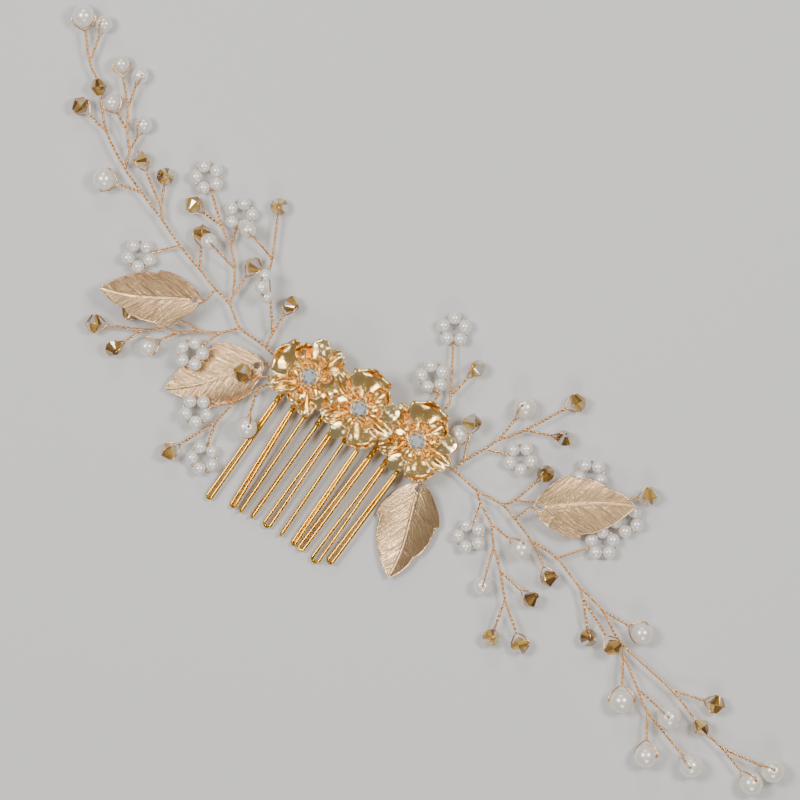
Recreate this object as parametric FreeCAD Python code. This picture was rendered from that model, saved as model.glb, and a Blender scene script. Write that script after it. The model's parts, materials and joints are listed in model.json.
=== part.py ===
import FreeCAD, Part
import math
import os
from dataclasses import dataclass

# A decorative hair comb: a wire comb of ten hairpin teeth bound to a bar, three cast flowers with
# a stone each on top of the bar, four stamped leaves, and sprays of twisted wire that carry
# pearls, rings of small pearls and faceted crystals.
# Millimetres. While it is built, X runs along the bar, +Z is the side that faces out of the hair,
# and X = Y = 0 is the middle flower's centre, with the teeth pointing along -Y. The finished
# comb is moved so that its origin is the middle of the underside of its box.

Vector = FreeCAD.Vector
UP = Vector(0, 0, 1)

# ---- wire -------------------------------------------------------------------------------------
WIRE = 0.38              # diameter of the wire that the sprays are twisted from
STEM_RADIUS = WIRE       # two of those wires twisted together fill a round of this radius
GAP = 0.02               # hairline between pieces that lie against each other
STRINGING = 0.1          # radial room between a wire and the hole it goes through
LOOP_ROOM = 0.15         # room between a bead and the loop of wire round it
STEM_HEIGHT = 3.2        # how high a spray's stems run above the ground
BEND_ROOM = 0.2          # bare room each side of the point where a spray bends
BEAD_LIFT = 0.6          # a bead's underside above the ground, which leaves room for its loop

# ---- beads ------------------------------------------------------------------------------------
LARGE, BIG, MIDDLE, SMALL = 6.2, 5.8, 4.8, 4.4     # pearl diameters
RING_PEARL = 3.4         # diameter of the small pearls that are strung in rings
RING_COUNT = 5           # pearls in a ring
CRYSTAL_WIDTH = 4.7      # a double cone, across its girdle
CRYSTAL_LENGTH = 4.4     # and along its hole
CRYSTAL_MOUTH = 1.9      # diameter of its cut-off ends
CRYSTAL_TAIL = 0.3       # bare wire past each end of a crystal strung along a stem
TRIO_TILT = 58.0         # how far the ring with three pearls leans over, in degrees

# ---- comb -------------------------------------------------------------------------------------
BAR_DIAMETER = 1.2
BAR_LENGTH = 41.0
BAR_CENTRE = (-1.0, -2.0)
BAR_HEIGHT = 3.0
BAR_END_GAP = 0.6        # from an end of the bar to the wire that leaves it
TOOTH_WIRE = 0.93
TOOTH_PITCH = 4.05
FIRST_TOOTH = -18.9      # where the first tooth meets the bar
TOOTH_TIP_HEIGHT = 1.3
NECK_LENGTH = 7.0        # where both legs of a tooth are wound together, below the bar
NECK_DIAMETER = 1.3
WRAP_WIDTH = 1.7         # one bundle of binding wire on the bar, between two teeth
WRAP_THICKNESS = 0.35

# ---- flowers ----------------------------------------------------------------------------------
FLOWER_PLACES = ((-15.4, 0.4), (0.0, 0.0), (17.0, 0.6))
FLOWER_TURNS = (12.0, 38.0, 0.0)
FLOWER_REACH = 11.4      # from the flower's centre to a petal's tip
PETAL_COUNT = 7
PETAL_LENGTH = 9.8
PETAL_WIDTH = 8.2
PETAL_BOWL = 14.0        # radius of the bowl that each petal is part of
PETAL_THICKNESS = 0.6
PETAL_TILT = 5.0
HUB_RADIUS = 4.2
HUB_THICKNESS = 0.8
HUB_HEIGHT = 5.3         # underside of the outer flowers' hubs above the ground
MIDDLE_RISE = 2.6        # the middle flower's petals lie over its neighbours'
MOUNT_RADIUS = 1.5
CROWN_REACH = 5.4
CROWN_COUNT = 6
CROWN_PETAL = 3.9
CROWN_BOWL = 3.0
CROWN_THICKNESS = 0.45
CROWN_TILT = 14.0
CUP_RADIUS = 2.7
CUP_HEIGHT = 1.7
CUP_FLOOR = 0.5
STONE_DIAMETER = 4.0
STONE_TABLE = 2.2        # flat top of the stone
STONE_CROWN = 0.7
STONE_DEPTH = 1.1        # from the girdle down to the blunt point
STONE_SEAT = 0.25        # how far the girdle sits below the cup's rim

# ---- leaves -----------------------------------------------------------------------------------
LEAF_LENGTH = 24.5       # from the hole to the tip
LEAF_HALF = 8.4          # from the midrib to the widest lobe
LEAF_SHEET = 0.5
LEAF_CURVE = 20.0        # radius of the curve across the leaf
LEAF_HOLE = 1.8
LEAF_HEEL = 1.8          # from the hole's centre to the base end
HOOK_RADIUS = 1.3        # centre line of the wire hook through the hole


@dataclass
class Leaf:
    """How a leaf lies: which way its tip points, and how it leans. Its hook gives its place."""

    heading: float       # degrees from +X, seen from above
    drop: float = 0.0    # degrees by which the tip points down
    lean: float = 0.0    # degrees by which its left side, looking to the tip, is raised


@dataclass
class Tooth:
    """How one hairpin differs from a straight one."""

    lean: float          # degrees off the comb's square, towards -X
    reach: float         # from the bar's centre line to the tip
    gap: float           # between the wire centres of its legs, at the tip
    twist: float         # degrees that the hairpin is turned about its own length


@dataclass
class Twig:
    """One straight run of twisted wire, and what it carries at its far end."""

    kind: str
    length: float        # seen from above, to the fork or to the middle of what it carries
    heading: float       # degrees from +X
    onward: tuple = ()
    size: float = 0.0
    height: float = None
    roll: float = 0.0    # degrees that a bead's hole is turned about its stem
    name: str = None


def twig(length, heading, *onward, height=None):
    return Twig("fork", length, heading, onward, height=height)


def pearl(length, heading, size, height=None, roll=0.0, name=None):
    return Twig("pearl", length, heading, size=size, height=height, roll=roll, name=name)


def crystal(length, heading, height=None, roll=0.0, name=None):
    return Twig("crystal", length, heading, size=CRYSTAL_WIDTH, height=height, roll=roll, name=name)


def crystal_on_the_way(length, heading, *onward, name=None):
    return Twig("through", length, heading, onward, size=CRYSTAL_WIDTH, name=name)


def ring(length, heading, height=None):
    return Twig("ring", length, heading, size=RING_PEARL, height=height)


def trio(length, heading, *onward, height=None):
    return Twig("trio", length, heading, onward, size=RING_PEARL, height=height)


def hook(length, heading, name, height=None):
    return Twig("hook", length, heading, height=height, name=name)


TEETH = (
    Tooth(4.1, 38.7, 1.4, 30.0), Tooth(0.4, 37.3, 1.4, 40.0), Tooth(2.9, 37.4, 1.6, 84.0),
    Tooth(4.2, 37.2, 1.6, 80.0), Tooth(3.6, 37.2, 1.7, 0.0), Tooth(3.0, 37.2, 1.6, 86.0),
    Tooth(3.1, 37.6, 1.4, 50.0), Tooth(5.7, 37.9, 1.4, 15.0), Tooth(4.7, 38.6, 2.0, 0.0),
    Tooth(5.7, 36.9, 1.8, 45.0),
)

LEAVES = {
    "leaf_upper_left": Leaf(-156.0, lean=26.0),
    "leaf_left": Leaf(-134.6, drop=1.5),
    "leaf_lower": Leaf(-77.0, drop=4.0),
    "leaf_right": Leaf(32.0),
}

@dataclass
class Spray:
    """A bundle of twisted wire: where it is bound to the bar, its root, and what grows from it."""

    bar_end: int         # -1 at the bar's left end, 1 at its right end
    bar_place: float     # along the bar, outwards from the bar's nearer end
    bar_side: int        # 1 on the side away from the teeth, -1 on their side, 0 on the bar's end
    root: tuple          # outwards and sideways from the middle of the bar's nearer end
    twigs: tuple
    lift: float = None   # heading of the way it bends up; None where it can't bend by itself


# Each spray is written from its root outwards. A fork's first twig carries on, the others branch.
left_tip = crystal_on_the_way(
    12, 132,
    twig(4.5, 145, pearl(12, 129, BIG, name="left_tip_pearl"),
         pearl(10.5, 101, SMALL, roll=70, name="left_tip_small_pearl")),
    name="left_inline_crystal")
left_fan = twig(
    4.5, 108,
    twig(5.5, 127,
         twig(6, 120, pearl(11.5, 130, SMALL, roll=20), pearl(9, 101, SMALL, roll=110)),
         pearl(8.5, 150, SMALL)),
    pearl(8, 94, SMALL, roll=60))
left_outer = twig(
    9, 158,
    twig(7.5, 156, twig(10.5, 148, left_tip, crystal(10, 166)), left_fan),
    pearl(10.5, -168, BIG, roll=10, name="left_outer_pearl"))
left_main = twig(
    5.5, 164,
    twig(6.5, 160,
         twig(8, 161,
              twig(8, 156, left_outer,
                   twig(3.5, 128, crystal(13.5, 144, roll=40), crystal(8, 113, roll=100))),
              ring(11, -136)),
         crystal(9.5, 118)),
    hook(4, -93, "leaf_upper_left", height=6.2))
left_inner = twig(
    2.5, 101,
    twig(7, 118,
         twig(6, 131, twig(5.5, 146, ring(13.5, 138), crystal(9.5, 174, roll=30)),
              ring(8.5, 104, height=2.0)),
         pearl(9.5, 165, SMALL, height=6.5, roll=90)),
    crystal(9.5, 87, roll=150))
left_low = twig(
    5, -135,
    twig(5.5, -151,
         twig(5.5, -147,
              twig(4, -167,
                   twig(5.5, -142, crystal(13, -156, name="left_outer_crystal"),
                        crystal(9, -116, roll=60)),
                   crystal(10, -174, roll=20)),
              pearl(9, -124, MIDDLE, roll=20)),
         pearl(9, -179, MIDDLE)),
    ring(9.5, -113, height=4.4))
left_near = twig(
    4, 97,
    trio(12.5, 124, twig(3.5, 109, pearl(9.5, 162, SMALL, height=6.0, roll=80),
                         crystal(13.5, 114, roll=90)),
         height=5.2),
    crystal(9, 89, roll=140))

lower_left = twig(
    1.5, -127,
    twig(6.5, -120,
         twig(7.5, -102, crystal(14.5, -116, roll=20, name="lower_left_crystal"),
              ring(10, -78)),
         ring(10.5, -134, height=3.9)),
    pearl(10.5, -75, BIG, height=5.0, roll=75, name="lower_left_pearl"))

top_right = twig(2.5, 104, ring(17.5, 118), crystal(10, 78, roll=60, name="top_right_crystal"))

right_tip = crystal_on_the_way(
    12.5, -20,
    twig(5, -11, pearl(12, -19, LARGE, roll=60, name="right_tip_pearl"),
         pearl(14.5, 7, LARGE, roll=80, name="right_tip_upper_pearl")),
    name="right_inline_crystal")
right_fork = twig(
    3, -52,
    twig(9.5, -36,
         twig(6.5, -35, pearl(11.5, -61, LARGE, roll=30, name="right_low_pearl"),
              pearl(18, -20, LARGE, roll=100)),
         pearl(11, -11, LARGE, height=5.0, roll=90, name="right_fork_pearl")),
    pearl(12, -61, LARGE))
right_outer = twig(
    9, -20,
    twig(9, -15,
         twig(10, -28, twig(17.5, -12, right_tip, crystal(12.5, 13)), right_fork),
         pearl(12, 1, BIG, roll=20, name="right_upper_pearl")),
    twig(3.5, -40, crystal(10.5, -50, roll=80), crystal(15, -27, height=5.3)))
right_main = twig(
    5, -17,
    twig(7, -22, twig(8, -3, right_outer, ring(12.5, 49)), crystal(11, -33, roll=30)),
    hook(4.5, 73, "leaf_right", height=6.2))
right_under_leaf = twig(
    3.5, 50,
    crystal(10.5, 72, roll=70),
    twig(4, 26,
         twig(9.5, 33, twig(7.5, 22, crystal(14.5, 41, roll=20), ring(9, 6)), ring(9, 78))))
right_low = twig(
    3.5, -42,
    twig(6, -33,
         twig(6, -51,
              twig(6.5, -44,
                   twig(7.5, -49, crystal(10.5, -79, roll=80), crystal(12.5, -40, roll=10)),
                   crystal(11, -11, roll=40)),
              pearl(10.5, -75, MIDDLE, roll=90)),
         pearl(10, -7, BIG, height=4.7, roll=60, name="right_drop_pearl")),
    ring(9, -78))
right_upper = twig(
    3.5, 72,
    twig(6.5, 62,
         twig(4, 64, twig(7.5, 52, crystal(15.5, 59), crystal(10.5, 20, roll=60)),
              pearl(11, 82, BIG, roll=70, name="right_branch_pearl")),
         ring(9.5, 16)),
    crystal(10.5, 109, height=6.0, roll=20))

SPRAYS = {
    "left_spray": Spray(-1, -2.1, 1, (7.5, 3.0), lift=146.0, twigs=(
        twig(8.5, 174, twig(6.5, 145, left_main, left_inner), left_low), left_near)),
    "lower_left_spray": Spray(-1, -1.5, -1, (3.0, -6.0), (lower_left,), lift=-115.0),
    "top_right_spray": Spray(1, -2.0, 1, (-0.5, 14.5), (top_right,), lift=105.0),
    "right_spray": Spray(1, 0.0, 0, (9.5, 1.0), lift=20.0, twigs=(
        twig(8, -9, twig(7.5, 2, right_main, right_under_leaf), right_low), right_upper)),
}
# Twigs that are too short to bend: two leaves, and three beads close beside the flowers.
SIDE_TWIGS = (
    Spray(-1, 0.0, 0, (3.0, -0.6), (hook(2.0, 160, "leaf_left", height=2.8),)),
    Spray(-1, -0.5, -1, (6.3, -5.4), (crystal(3.2, 188, height=6.0, name="leaf_crystal"),)),
    Spray(1, -6.0, 1, (-4.0, 14.7), (ring(5.6, 131, height=3.4),)),
    Spray(1, -0.6, 1, (3.9, 4.6), (pearl(5.6, 68, MIDDLE, name="shaded_pearl"),)),
    Spray(1, -0.8, -1, (2.3, -2.6), (hook(2.3, -60, "leaf_lower", height=4.0),)),
)

NODES = {}               # every piece of the comb by name, as a list of its solids
PIVOTS = {}              # where each spray bends, and about which axis
SPINS = {}               # the middle of each bead that has its own node, and its hole's direction
SWIVELS = {}             # each leaf's hole and the direction through it


def keep(name, *solids):
    NODES.setdefault(name, []).extend(solids)


def flat_way(heading):
    return Vector(math.cos(math.radians(heading)), math.sin(math.radians(heading)), 0)


def unit(v):
    return v * (1.0 / v.Length)


def turned(v, axis, degrees):
    return FreeCAD.Rotation(axis, degrees).multVec(v)


def rod(start, end, radius):
    return Part.makeCylinder(radius, start.distanceToPoint(end), start, end - start)


# ---- twisted stems ----------------------------------------------------------------------------
def stem(start, end, start_face=None, end_face=None):
    """A straight run of twisted wire. A face is the direction across a mitre at that end."""
    way = unit(end - start)
    spare = way * (2 * STEM_RADIUS)
    solid = rod(start - spare if start_face else start, end + spare if end_face else end,
                STEM_RADIUS)
    for point, face in ((start, start_face and start_face * -1), (end, end_face)):
        if face:
            waste = Part.makeCylinder(5 * STEM_RADIUS, 5 * STEM_RADIUS, point - face * (GAP / 2),
                                      face)
            solid = solid.cut(waste).Solids[0]
    return solid


def clear_of(way, other):
    """How far along way a stem has to start to stand clear of a stem along other."""
    angle = way.getAngle(other)
    if angle >= math.pi / 2:
        return STEM_RADIUS + GAP
    return (STEM_RADIUS + GAP) / math.sin(angle) + STEM_RADIUS / math.tan(angle)


def rest_height(branch):
    if branch.height is not None:
        return branch.height
    return branch.size / 2 + BEAD_LIFT if branch.size else STEM_HEIGHT


def far_end(start, branch):
    flat = start + flat_way(branch.heading) * branch.length
    return Vector(flat.x, flat.y, rest_height(branch))


def carries_on(start, arriving, twigs):
    """Which twig carries on from a fork: the one that turns least."""
    turns = [arriving.getAngle(far_end(start, t) - start) for t in twigs]
    return turns.index(min(turns))


def grow(spray, start, arriving, twigs, reach=0.0):
    """Grow the twigs that leave a fork. With a reach they start that far past it, square."""
    leader = carries_on(start, arriving, twigs)
    order = [leader] + [i for i in range(len(twigs)) if i != leader]
    ways = []
    for i in order:
        branch = twigs[i]
        end = far_end(start, branch)
        way = unit(end - start)
        if ways:
            from_start = max([clear_of(way, other) for other in ways]
                             + [clear_of(way, arriving * -1)]) + reach
            near, face = start + way * from_start, None
        elif reach:
            near, face = start + way * reach, None
        else:
            near, face = start, unit(arriving + way)
        ways.append(way)
        finish(spray, branch, near, end, way, face)


def finish(spray, branch, near, end, way, face):
    """Make one stem and whatever it ends in."""
    wire = "bound_wires" if spray == "side" else spray + "_wire"
    if branch.kind == "fork":
        next_way = unit(far_end(end, branch.onward[carries_on(end, way, branch.onward)]) - end)
        keep(wire, stem(near, end, face, unit(way + next_way)))
        grow(spray, end, way, branch.onward)
    elif branch.kind in ("pearl", "crystal"):
        across = turned(unit(UP.cross(way)), way, branch.roll)
        loop_radius = branch.size / 2 + LOOP_ROOM + WIRE / 2
        keep(wire, stem(near, end - way * (loop_radius + WIRE / 2 + GAP), face),
             bead_loop(end, way, across, loop_radius))
        string_bead(spray, branch, end, across)
    elif branch.kind == "through":
        tail = way * (CRYSTAL_LENGTH / 2 + CRYSTAL_TAIL)
        keep(wire, stem(near, end - tail, face), rod(end - tail * 0.98, end + tail, WIRE / 2))
        string_bead(spray, branch, end, way)
        grow(spray, end + tail, way, branch.onward, reach=STEM_RADIUS / 2)
    elif branch.kind == "ring":
        flat = unit(Vector(way.x, way.y, 0))
        corners = ring_corners(end, flat * -1, UP)
        keep(wire, stem(near, end - way * (corner_radius() + STEM_RADIUS), face),
             strung_wire(corners))
        keep(spray + "_ring_pearls", *ring_pearls(corners + corners[:1]))
    elif branch.kind == "trio":
        half = way * (corner_radius() * math.sin(math.radians(72)))
        lean = turned(unit(way.cross(UP)), way, TRIO_TILT)
        middle = end - lean * (corner_radius() * math.cos(math.radians(72)))
        around = ring_corners(middle, lean, lean.cross(way))
        used = around[1:]
        keep(wire, stem(near, end - half - way * STEM_RADIUS, face), strung_wire(used))
        keep(spray + "_ring_pearls", *ring_pearls(used))
        grow(spray, end + half + way * (STEM_RADIUS / 2), way, branch.onward,
             reach=STEM_RADIUS / 2)
    else:
        keep(wire, stem(near, end, face))
        hang_leaf(wire, branch.name, end)


# ---- beads ------------------------------------------------------------------------------------
def drilled(solid, middle, hole, length):
    drill = Part.makeCylinder(WIRE / 2 + STRINGING, length, middle - hole * (length / 2), hole)
    return solid.cut(drill).Solids[0]


def pearl_bead(middle, hole, diameter):
    ball = Part.makeSphere(diameter / 2)
    ball.Placement = FreeCAD.Placement(middle, FreeCAD.Rotation(UP, hole))
    return drilled(ball, middle, hole, 2 * diameter)


def crystal_bead(middle, hole):
    half = CRYSTAL_LENGTH / 2
    cones = [Part.makeCone(CRYSTAL_WIDTH / 2, CRYSTAL_MOUTH / 2, half, middle, way)
             for way in (hole, hole * -1)]
    return drilled(cones[0].fuse(cones[1]), middle, hole, 2 * CRYSTAL_LENGTH)


def string_bead(spray, branch, middle, hole):
    """A bead that is named spins by itself; the others of a spray are one group."""
    bead = (pearl_bead(middle, hole, branch.size) if branch.kind == "pearl"
            else crystal_bead(middle, hole))
    group = "_pearls" if branch.kind == "pearl" else "_crystals"
    keep(branch.name or spray + group, bead)
    if branch.name:
        SPINS[branch.name] = (middle, hole, spray)


def bent_corner(point):
    return Part.makeSphere(WIRE / 2 * 1.06, point)


def bead_loop(middle, way, hole, radius):
    """The wire of one bead: through its hole and back round its near side to the stem."""
    ends = [middle + hole * radius, middle - hole * radius]
    section = Part.Face(Part.Wire(Part.Circle(ends[0], way, WIRE / 2).toShape()))
    bow = section.revolve(middle, way.cross(hole), 180)
    return rod(*ends, WIRE / 2).multiFuse([bow] + [bent_corner(e) for e in ends]).Solids[0]


def ring_apothem():
    return (RING_PEARL / 2 + GAP) / math.sin(math.pi / RING_COUNT)


def corner_radius():
    return ring_apothem() / math.cos(math.pi / RING_COUNT)


def ring_corners(middle, first, normal):
    """Corners of the wire of a ring of pearls, which runs straight through each pearl."""
    step = 360.0 / RING_COUNT
    return [middle + turned(first, normal, i * step) * corner_radius() for i in range(RING_COUNT)]


def strung_wire(corners):
    runs = [rod(a, b, WIRE / 2) for a, b in zip(corners, corners[1:] + corners[:1])]
    return runs[0].multiFuse(runs[1:] + [bent_corner(c) for c in corners]).Solids[0]


def ring_pearls(corners):
    return [pearl_bead((a + b) * 0.5, unit(b - a), RING_PEARL)
            for a, b in zip(corners, corners[1:])]


# ---- leaves -----------------------------------------------------------------------------------
def leaf_outline():
    """A stamped leaf in the XY plane, its hole at the origin and its tip on +X."""
    def arc(a, through, b):
        return Part.Arc(Vector(*a), Vector(*through), Vector(*b)).toShape()

    def step(a, b):
        return Part.LineSegment(Vector(*a), Vector(*b)).toShape()

    heel, tip, half = -LEAF_HEEL, LEAF_LENGTH, LEAF_HALF
    left = [(heel, 0.4), (0.34 * tip, half), (0.36 * tip, 0.87 * half), (0.70 * tip, 0.60 * half),
            (0.71 * tip, 0.48 * half), (tip, 0.0)]
    right = [(heel, -0.4), (0.40 * tip, -0.99 * half), (0.45 * tip, -0.84 * half)]
    edges = [
        arc(left[0], (0.10 * tip, 0.62 * half), left[1]),
        step(left[1], left[2]),
        arc(left[2], (0.54 * tip, 0.79 * half), left[3]),
        step(left[3], left[4]),
        arc(left[4], (0.88 * tip, 0.24 * half), left[5]),
        arc(left[5], (0.76 * tip, -0.50 * half), right[2]),
        step(right[2], right[1]),
        arc(right[1], (0.12 * tip, -0.66 * half), right[0]),
        step(right[0], left[0]),
    ]
    return Part.Wire(edges)


def leaf_sheet():
    """The outline pressed to a curve across the leaf, its edges lower than its midrib."""
    deep = LEAF_HALF
    prism = Part.Face(leaf_outline()).extrude(Vector(0, 0, 2 * deep))
    prism.translate(Vector(0, 0, -2 * deep + LEAF_SHEET))
    length = LEAF_LENGTH + 4 * LEAF_HEEL
    start, along = Vector(-2 * LEAF_HEEL, 0, LEAF_SHEET / 2 - LEAF_CURVE), Vector(1, 0, 0)
    shell = Part.makeCylinder(LEAF_CURVE, length, start, along).cut(
        Part.makeCylinder(LEAF_CURVE - LEAF_SHEET, length, start, along))
    hole = Part.makeCylinder(LEAF_HOLE / 2, 2 * LEAF_SHEET, Vector(0, 0, -LEAF_SHEET))
    return prism.common(shell).cut(hole).Solids[0]


def hang_leaf(wire, name, stem_end):
    """A hook of wire goes round the leaf's base end and through its hole."""
    leaf = LEAVES[name]
    to_tip = turned(flat_way(leaf.heading), flat_way(leaf.heading - 90), -leaf.drop)
    left_side = turned(unit(UP.cross(to_tip)), to_tip, leaf.lean)
    normal = to_tip.cross(left_side)
    hook_middle = stem_end + to_tip * (STEM_RADIUS + GAP + WIRE / 2 + HOOK_RADIUS)
    hole = hook_middle + to_tip * HOOK_RADIUS
    keep(wire, Part.makeTorus(HOOK_RADIUS, WIRE / 2, hook_middle, left_side))
    frame = FreeCAD.Matrix(to_tip.x, left_side.x, normal.x, hole.x,
                           to_tip.y, left_side.y, normal.y, hole.y,
                           to_tip.z, left_side.z, normal.z, hole.z)
    sheet = leaf_sheet()
    sheet.Placement = FreeCAD.Placement(frame)
    keep(name, sheet)
    SWIVELS[name] = (hole, normal)


# ---- comb -------------------------------------------------------------------------------------
def bar_point(x, side):
    """Where a wire that is bound to one side of the bar, or at side 0 to its end, starts."""
    return Vector(x, BAR_CENTRE[1] + side * (BAR_DIAMETER / 2 - STEM_RADIUS), BAR_HEIGHT)


def comb_bar():
    left = Vector(BAR_CENTRE[0] - BAR_LENGTH / 2, BAR_CENTRE[1], BAR_HEIGHT)
    return rod(left, left + Vector(BAR_LENGTH, 0, 0), BAR_DIAMETER / 2)


def off_the_bar(solid):
    """The solid with a hairline of room round the bar cut out of it."""
    left = Vector(BAR_CENTRE[0] - BAR_LENGTH / 2 - GAP, BAR_CENTRE[1], BAR_HEIGHT)
    room = rod(left, left + Vector(BAR_LENGTH + 2 * GAP, 0, 0), BAR_DIAMETER / 2 + GAP)
    return max(solid.cut(room).Solids, key=lambda part: part.Volume)


def tooth_places():
    return [FIRST_TOOTH + i * TOOTH_PITCH for i in range(len(TEETH))]


def comb_tooth(x, tooth):
    """A hairpin: two legs wound together at the neck, and a round bend at the tip."""
    top = Vector(x, BAR_CENTRE[1], BAR_HEIGHT)
    lean = math.radians(tooth.lean)
    tip = top + Vector(-math.sin(lean), -math.cos(lean), 0) * tooth.reach
    tip.z = TOOTH_TIP_HEIGHT
    down = unit(tip - top)
    across = turned(unit(UP.cross(down)), down, tooth.twist)
    neck_end = top + down * NECK_LENGTH
    near = across * (TOOTH_WIRE / 2)
    far = across * (tooth.gap / 2)
    bend = tip - down * (tooth.gap / 2 + TOOTH_WIRE / 2)
    path = Part.Wire([
        Part.LineSegment(neck_end + near - down, bend + far).toShape(),
        Part.Arc(bend + far, bend + down * (tooth.gap / 2), bend - far).toShape(),
        Part.LineSegment(bend - far, neck_end - near - down).toShape()])
    section = Part.Wire(Part.Circle(neck_end + near - down, down, TOOTH_WIRE / 2).toShape())
    pin = path.makePipeShell([section], True, False)
    neck = rod(top, neck_end, NECK_DIAMETER / 2)
    return off_the_bar(pin.fuse(neck))


def binding_wraps():
    """Bundles of binding wire on the bar, between the teeth."""
    wraps = []
    inner = BAR_DIAMETER / 2 + GAP
    for x in tooth_places()[:-1]:
        start = Vector(x + (TOOTH_PITCH - WRAP_WIDTH) / 2, BAR_CENTRE[1], BAR_HEIGHT)
        end = start + Vector(WRAP_WIDTH, 0, 0)
        wraps.append(rod(start, end, inner + WRAP_THICKNESS).cut(rod(start, end, inner)))
    return wraps


# ---- flowers ----------------------------------------------------------------------------------
def bowl_petal(length, width, bowl, thickness, tilt, middle):
    """One petal: an oval cut out of a round bowl, tilted up and out from the flower's centre."""
    ball = Part.makeSphere(bowl, Vector(0, 0, bowl)).cut(
        Part.makeSphere(bowl - thickness, Vector(0, 0, bowl)))
    oval = Part.Ellipse(Vector(0, 0, 0), length / 2, width / 2)
    cutter = Part.Face(Part.Wire(oval.toShape())).extrude(Vector(0, 0, bowl))
    petal = ball.common(cutter)
    petal.rotate(Vector(0, 0, 0), Vector(0, 1, 0), -tilt)
    petal.translate(Vector(middle, 0, length / 2 * math.sin(math.radians(tilt))))
    return petal


def whorl(count, petal, hub_radius, hub_thickness, turn):
    """Equal petals round a hub, cast in one piece."""
    hub = Part.makeCylinder(hub_radius, hub_thickness)
    petals = []
    for i in range(count):
        copy = petal.copy()
        copy.rotate(Vector(0, 0, 0), UP, turn + i * 360.0 / count)
        petals.append(copy)
    return hub.multiFuse(petals)


def stone_cup():
    floor = STONE_DEPTH + STONE_SEAT
    cup = Part.makeCylinder(CUP_RADIUS, CUP_HEIGHT)
    pocket = Part.makeCylinder(STONE_DIAMETER / 2 + GAP, floor, Vector(0, 0, CUP_HEIGHT - floor))
    bead_rim = Part.makeTorus(CUP_RADIUS, CUP_FLOOR / 2, Vector(0, 0, CUP_FLOOR / 2))
    return cup.cut(pocket).fuse(bead_rim).Solids[0]


def stone():
    """A round brilliant, its girdle at Z = 0."""
    crown = Part.makeCone(STONE_DIAMETER / 2, STONE_TABLE / 2, STONE_CROWN)
    pavilion = Part.makeCone(STONE_DIAMETER / 2, STONE_DIAMETER / 8, STONE_DEPTH - GAP,
                             Vector(0, 0, 0), UP * -1)
    return crown.fuse(pavilion).removeSplitter().Solids[0]


def flowers():
    outer = bowl_petal(PETAL_LENGTH, PETAL_WIDTH, PETAL_BOWL, PETAL_THICKNESS, PETAL_TILT,
                       FLOWER_REACH - PETAL_LENGTH / 2)
    inner = bowl_petal(CROWN_PETAL, CROWN_PETAL, CROWN_BOWL, CROWN_THICKNESS, CROWN_TILT,
                       CROWN_REACH - CROWN_PETAL / 2)
    bar_top = BAR_HEIGHT + BAR_DIAMETER / 2 + WRAP_THICKNESS + 2 * GAP
    crown_floor = HUB_THICKNESS + GAP
    cup_floor = crown_floor + CROWN_THICKNESS + GAP
    girdle = cup_floor + CUP_HEIGHT - STONE_SEAT
    seat = Part.makeCylinder(CUP_RADIUS + CUP_FLOOR / 2 + GAP, FLOWER_REACH,
                             Vector(0, 0, CROWN_THICKNESS))
    crown_room = Part.makeCylinder(CROWN_REACH + GAP, FLOWER_REACH,
                                   Vector(0, 0, HUB_THICKNESS))
    for number, (place, turn) in enumerate(zip(FLOWER_PLACES, FLOWER_TURNS), 1):
        hub = HUB_HEIGHT + (MIDDLE_RISE if number == 2 else 0.0)
        petals = whorl(PETAL_COUNT, outer, HUB_RADIUS, HUB_THICKNESS, turn).cut(crown_room)
        crown = whorl(CROWN_COUNT, inner, CROWN_REACH / 2, CROWN_THICKNESS, turn).cut(seat)
        pieces = {
            f"flower_{number}_petals": (petals, 0.0),
            f"flower_{number}_crown": (crown, crown_floor),
            "stone_cups": (stone_cup(), cup_floor),
            "rhinestones": (stone(), girdle),
        }
        for name, (solid, height) in pieces.items():
            solid.translate(Vector(place[0], place[1], hub + height))
            keep(name, solid)
        foot = Vector(place[0], BAR_CENTRE[1], bar_top)
        keep("flower_mounts", Part.makeCylinder(MOUNT_RADIUS, hub - GAP - bar_top, foot))


# ---- the whole comb ---------------------------------------------------------------------------
def bind_spray(name, spray):
    """Run a spray's wire from the bar to its root, and grow it from there."""
    side = spray.bar_side
    end_x = BAR_CENTRE[0] + spray.bar_end * BAR_LENGTH / 2
    start = bar_point(end_x + spray.bar_end * (spray.bar_place if side else BAR_END_GAP), side)
    root = Vector(end_x + spray.bar_end * spray.root[0], BAR_CENTRE[1] + spray.root[1], STEM_HEIGHT)
    way = unit(root - start)
    if spray.lift is None:
        first = unit(far_end(root, spray.twigs[0]) - root)
        run = stem(start, root, None, unit(way + first))
        grow("side", root, way, spray.twigs)
    else:
        run = stem(start, root - way * BEND_ROOM)
        grow(name, root, way, spray.twigs, reach=BEND_ROOM)
        lift = flat_way(spray.lift)
        PIVOTS[name] = (root, lift.cross(UP))
    keep("bound_wires", off_the_bar(run))


keep("comb_bar", comb_bar())
for number, (x, tooth) in enumerate(zip(tooth_places(), TEETH), 1):
    keep(f"comb_tooth_{number:02d}", comb_tooth(x, tooth))
keep("binding_wire", *binding_wraps())
flowers()
for name, spray in SPRAYS.items():
    bind_spray(name, spray)
for spray in SIDE_TWIGS:
    bind_spray("side", spray)

shapes = {name: Part.makeCompound(solids) for name, solids in NODES.items()}
box = Part.makeCompound(list(shapes.values())).BoundBox
SHIFT = Vector(-box.Center.x, -box.Center.y, -box.ZMin)
os.makedirs("parts", exist_ok=True)
for name, shape in shapes.items():
    shape.translate(SHIFT)
    shape.exportStep(f"parts/{name}.step")
print(f"{len(shapes)} pieces, {sum(len(s.Solids) for s in shapes.values())} solids,",
      f"{box.XLength:.1f} x {box.YLength:.1f} x {box.ZLength:.1f} mm")
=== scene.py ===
"""A gold wire hair comb: twisted sprays with pearls and crystals, cast flowers and stamped leaves."""

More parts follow.
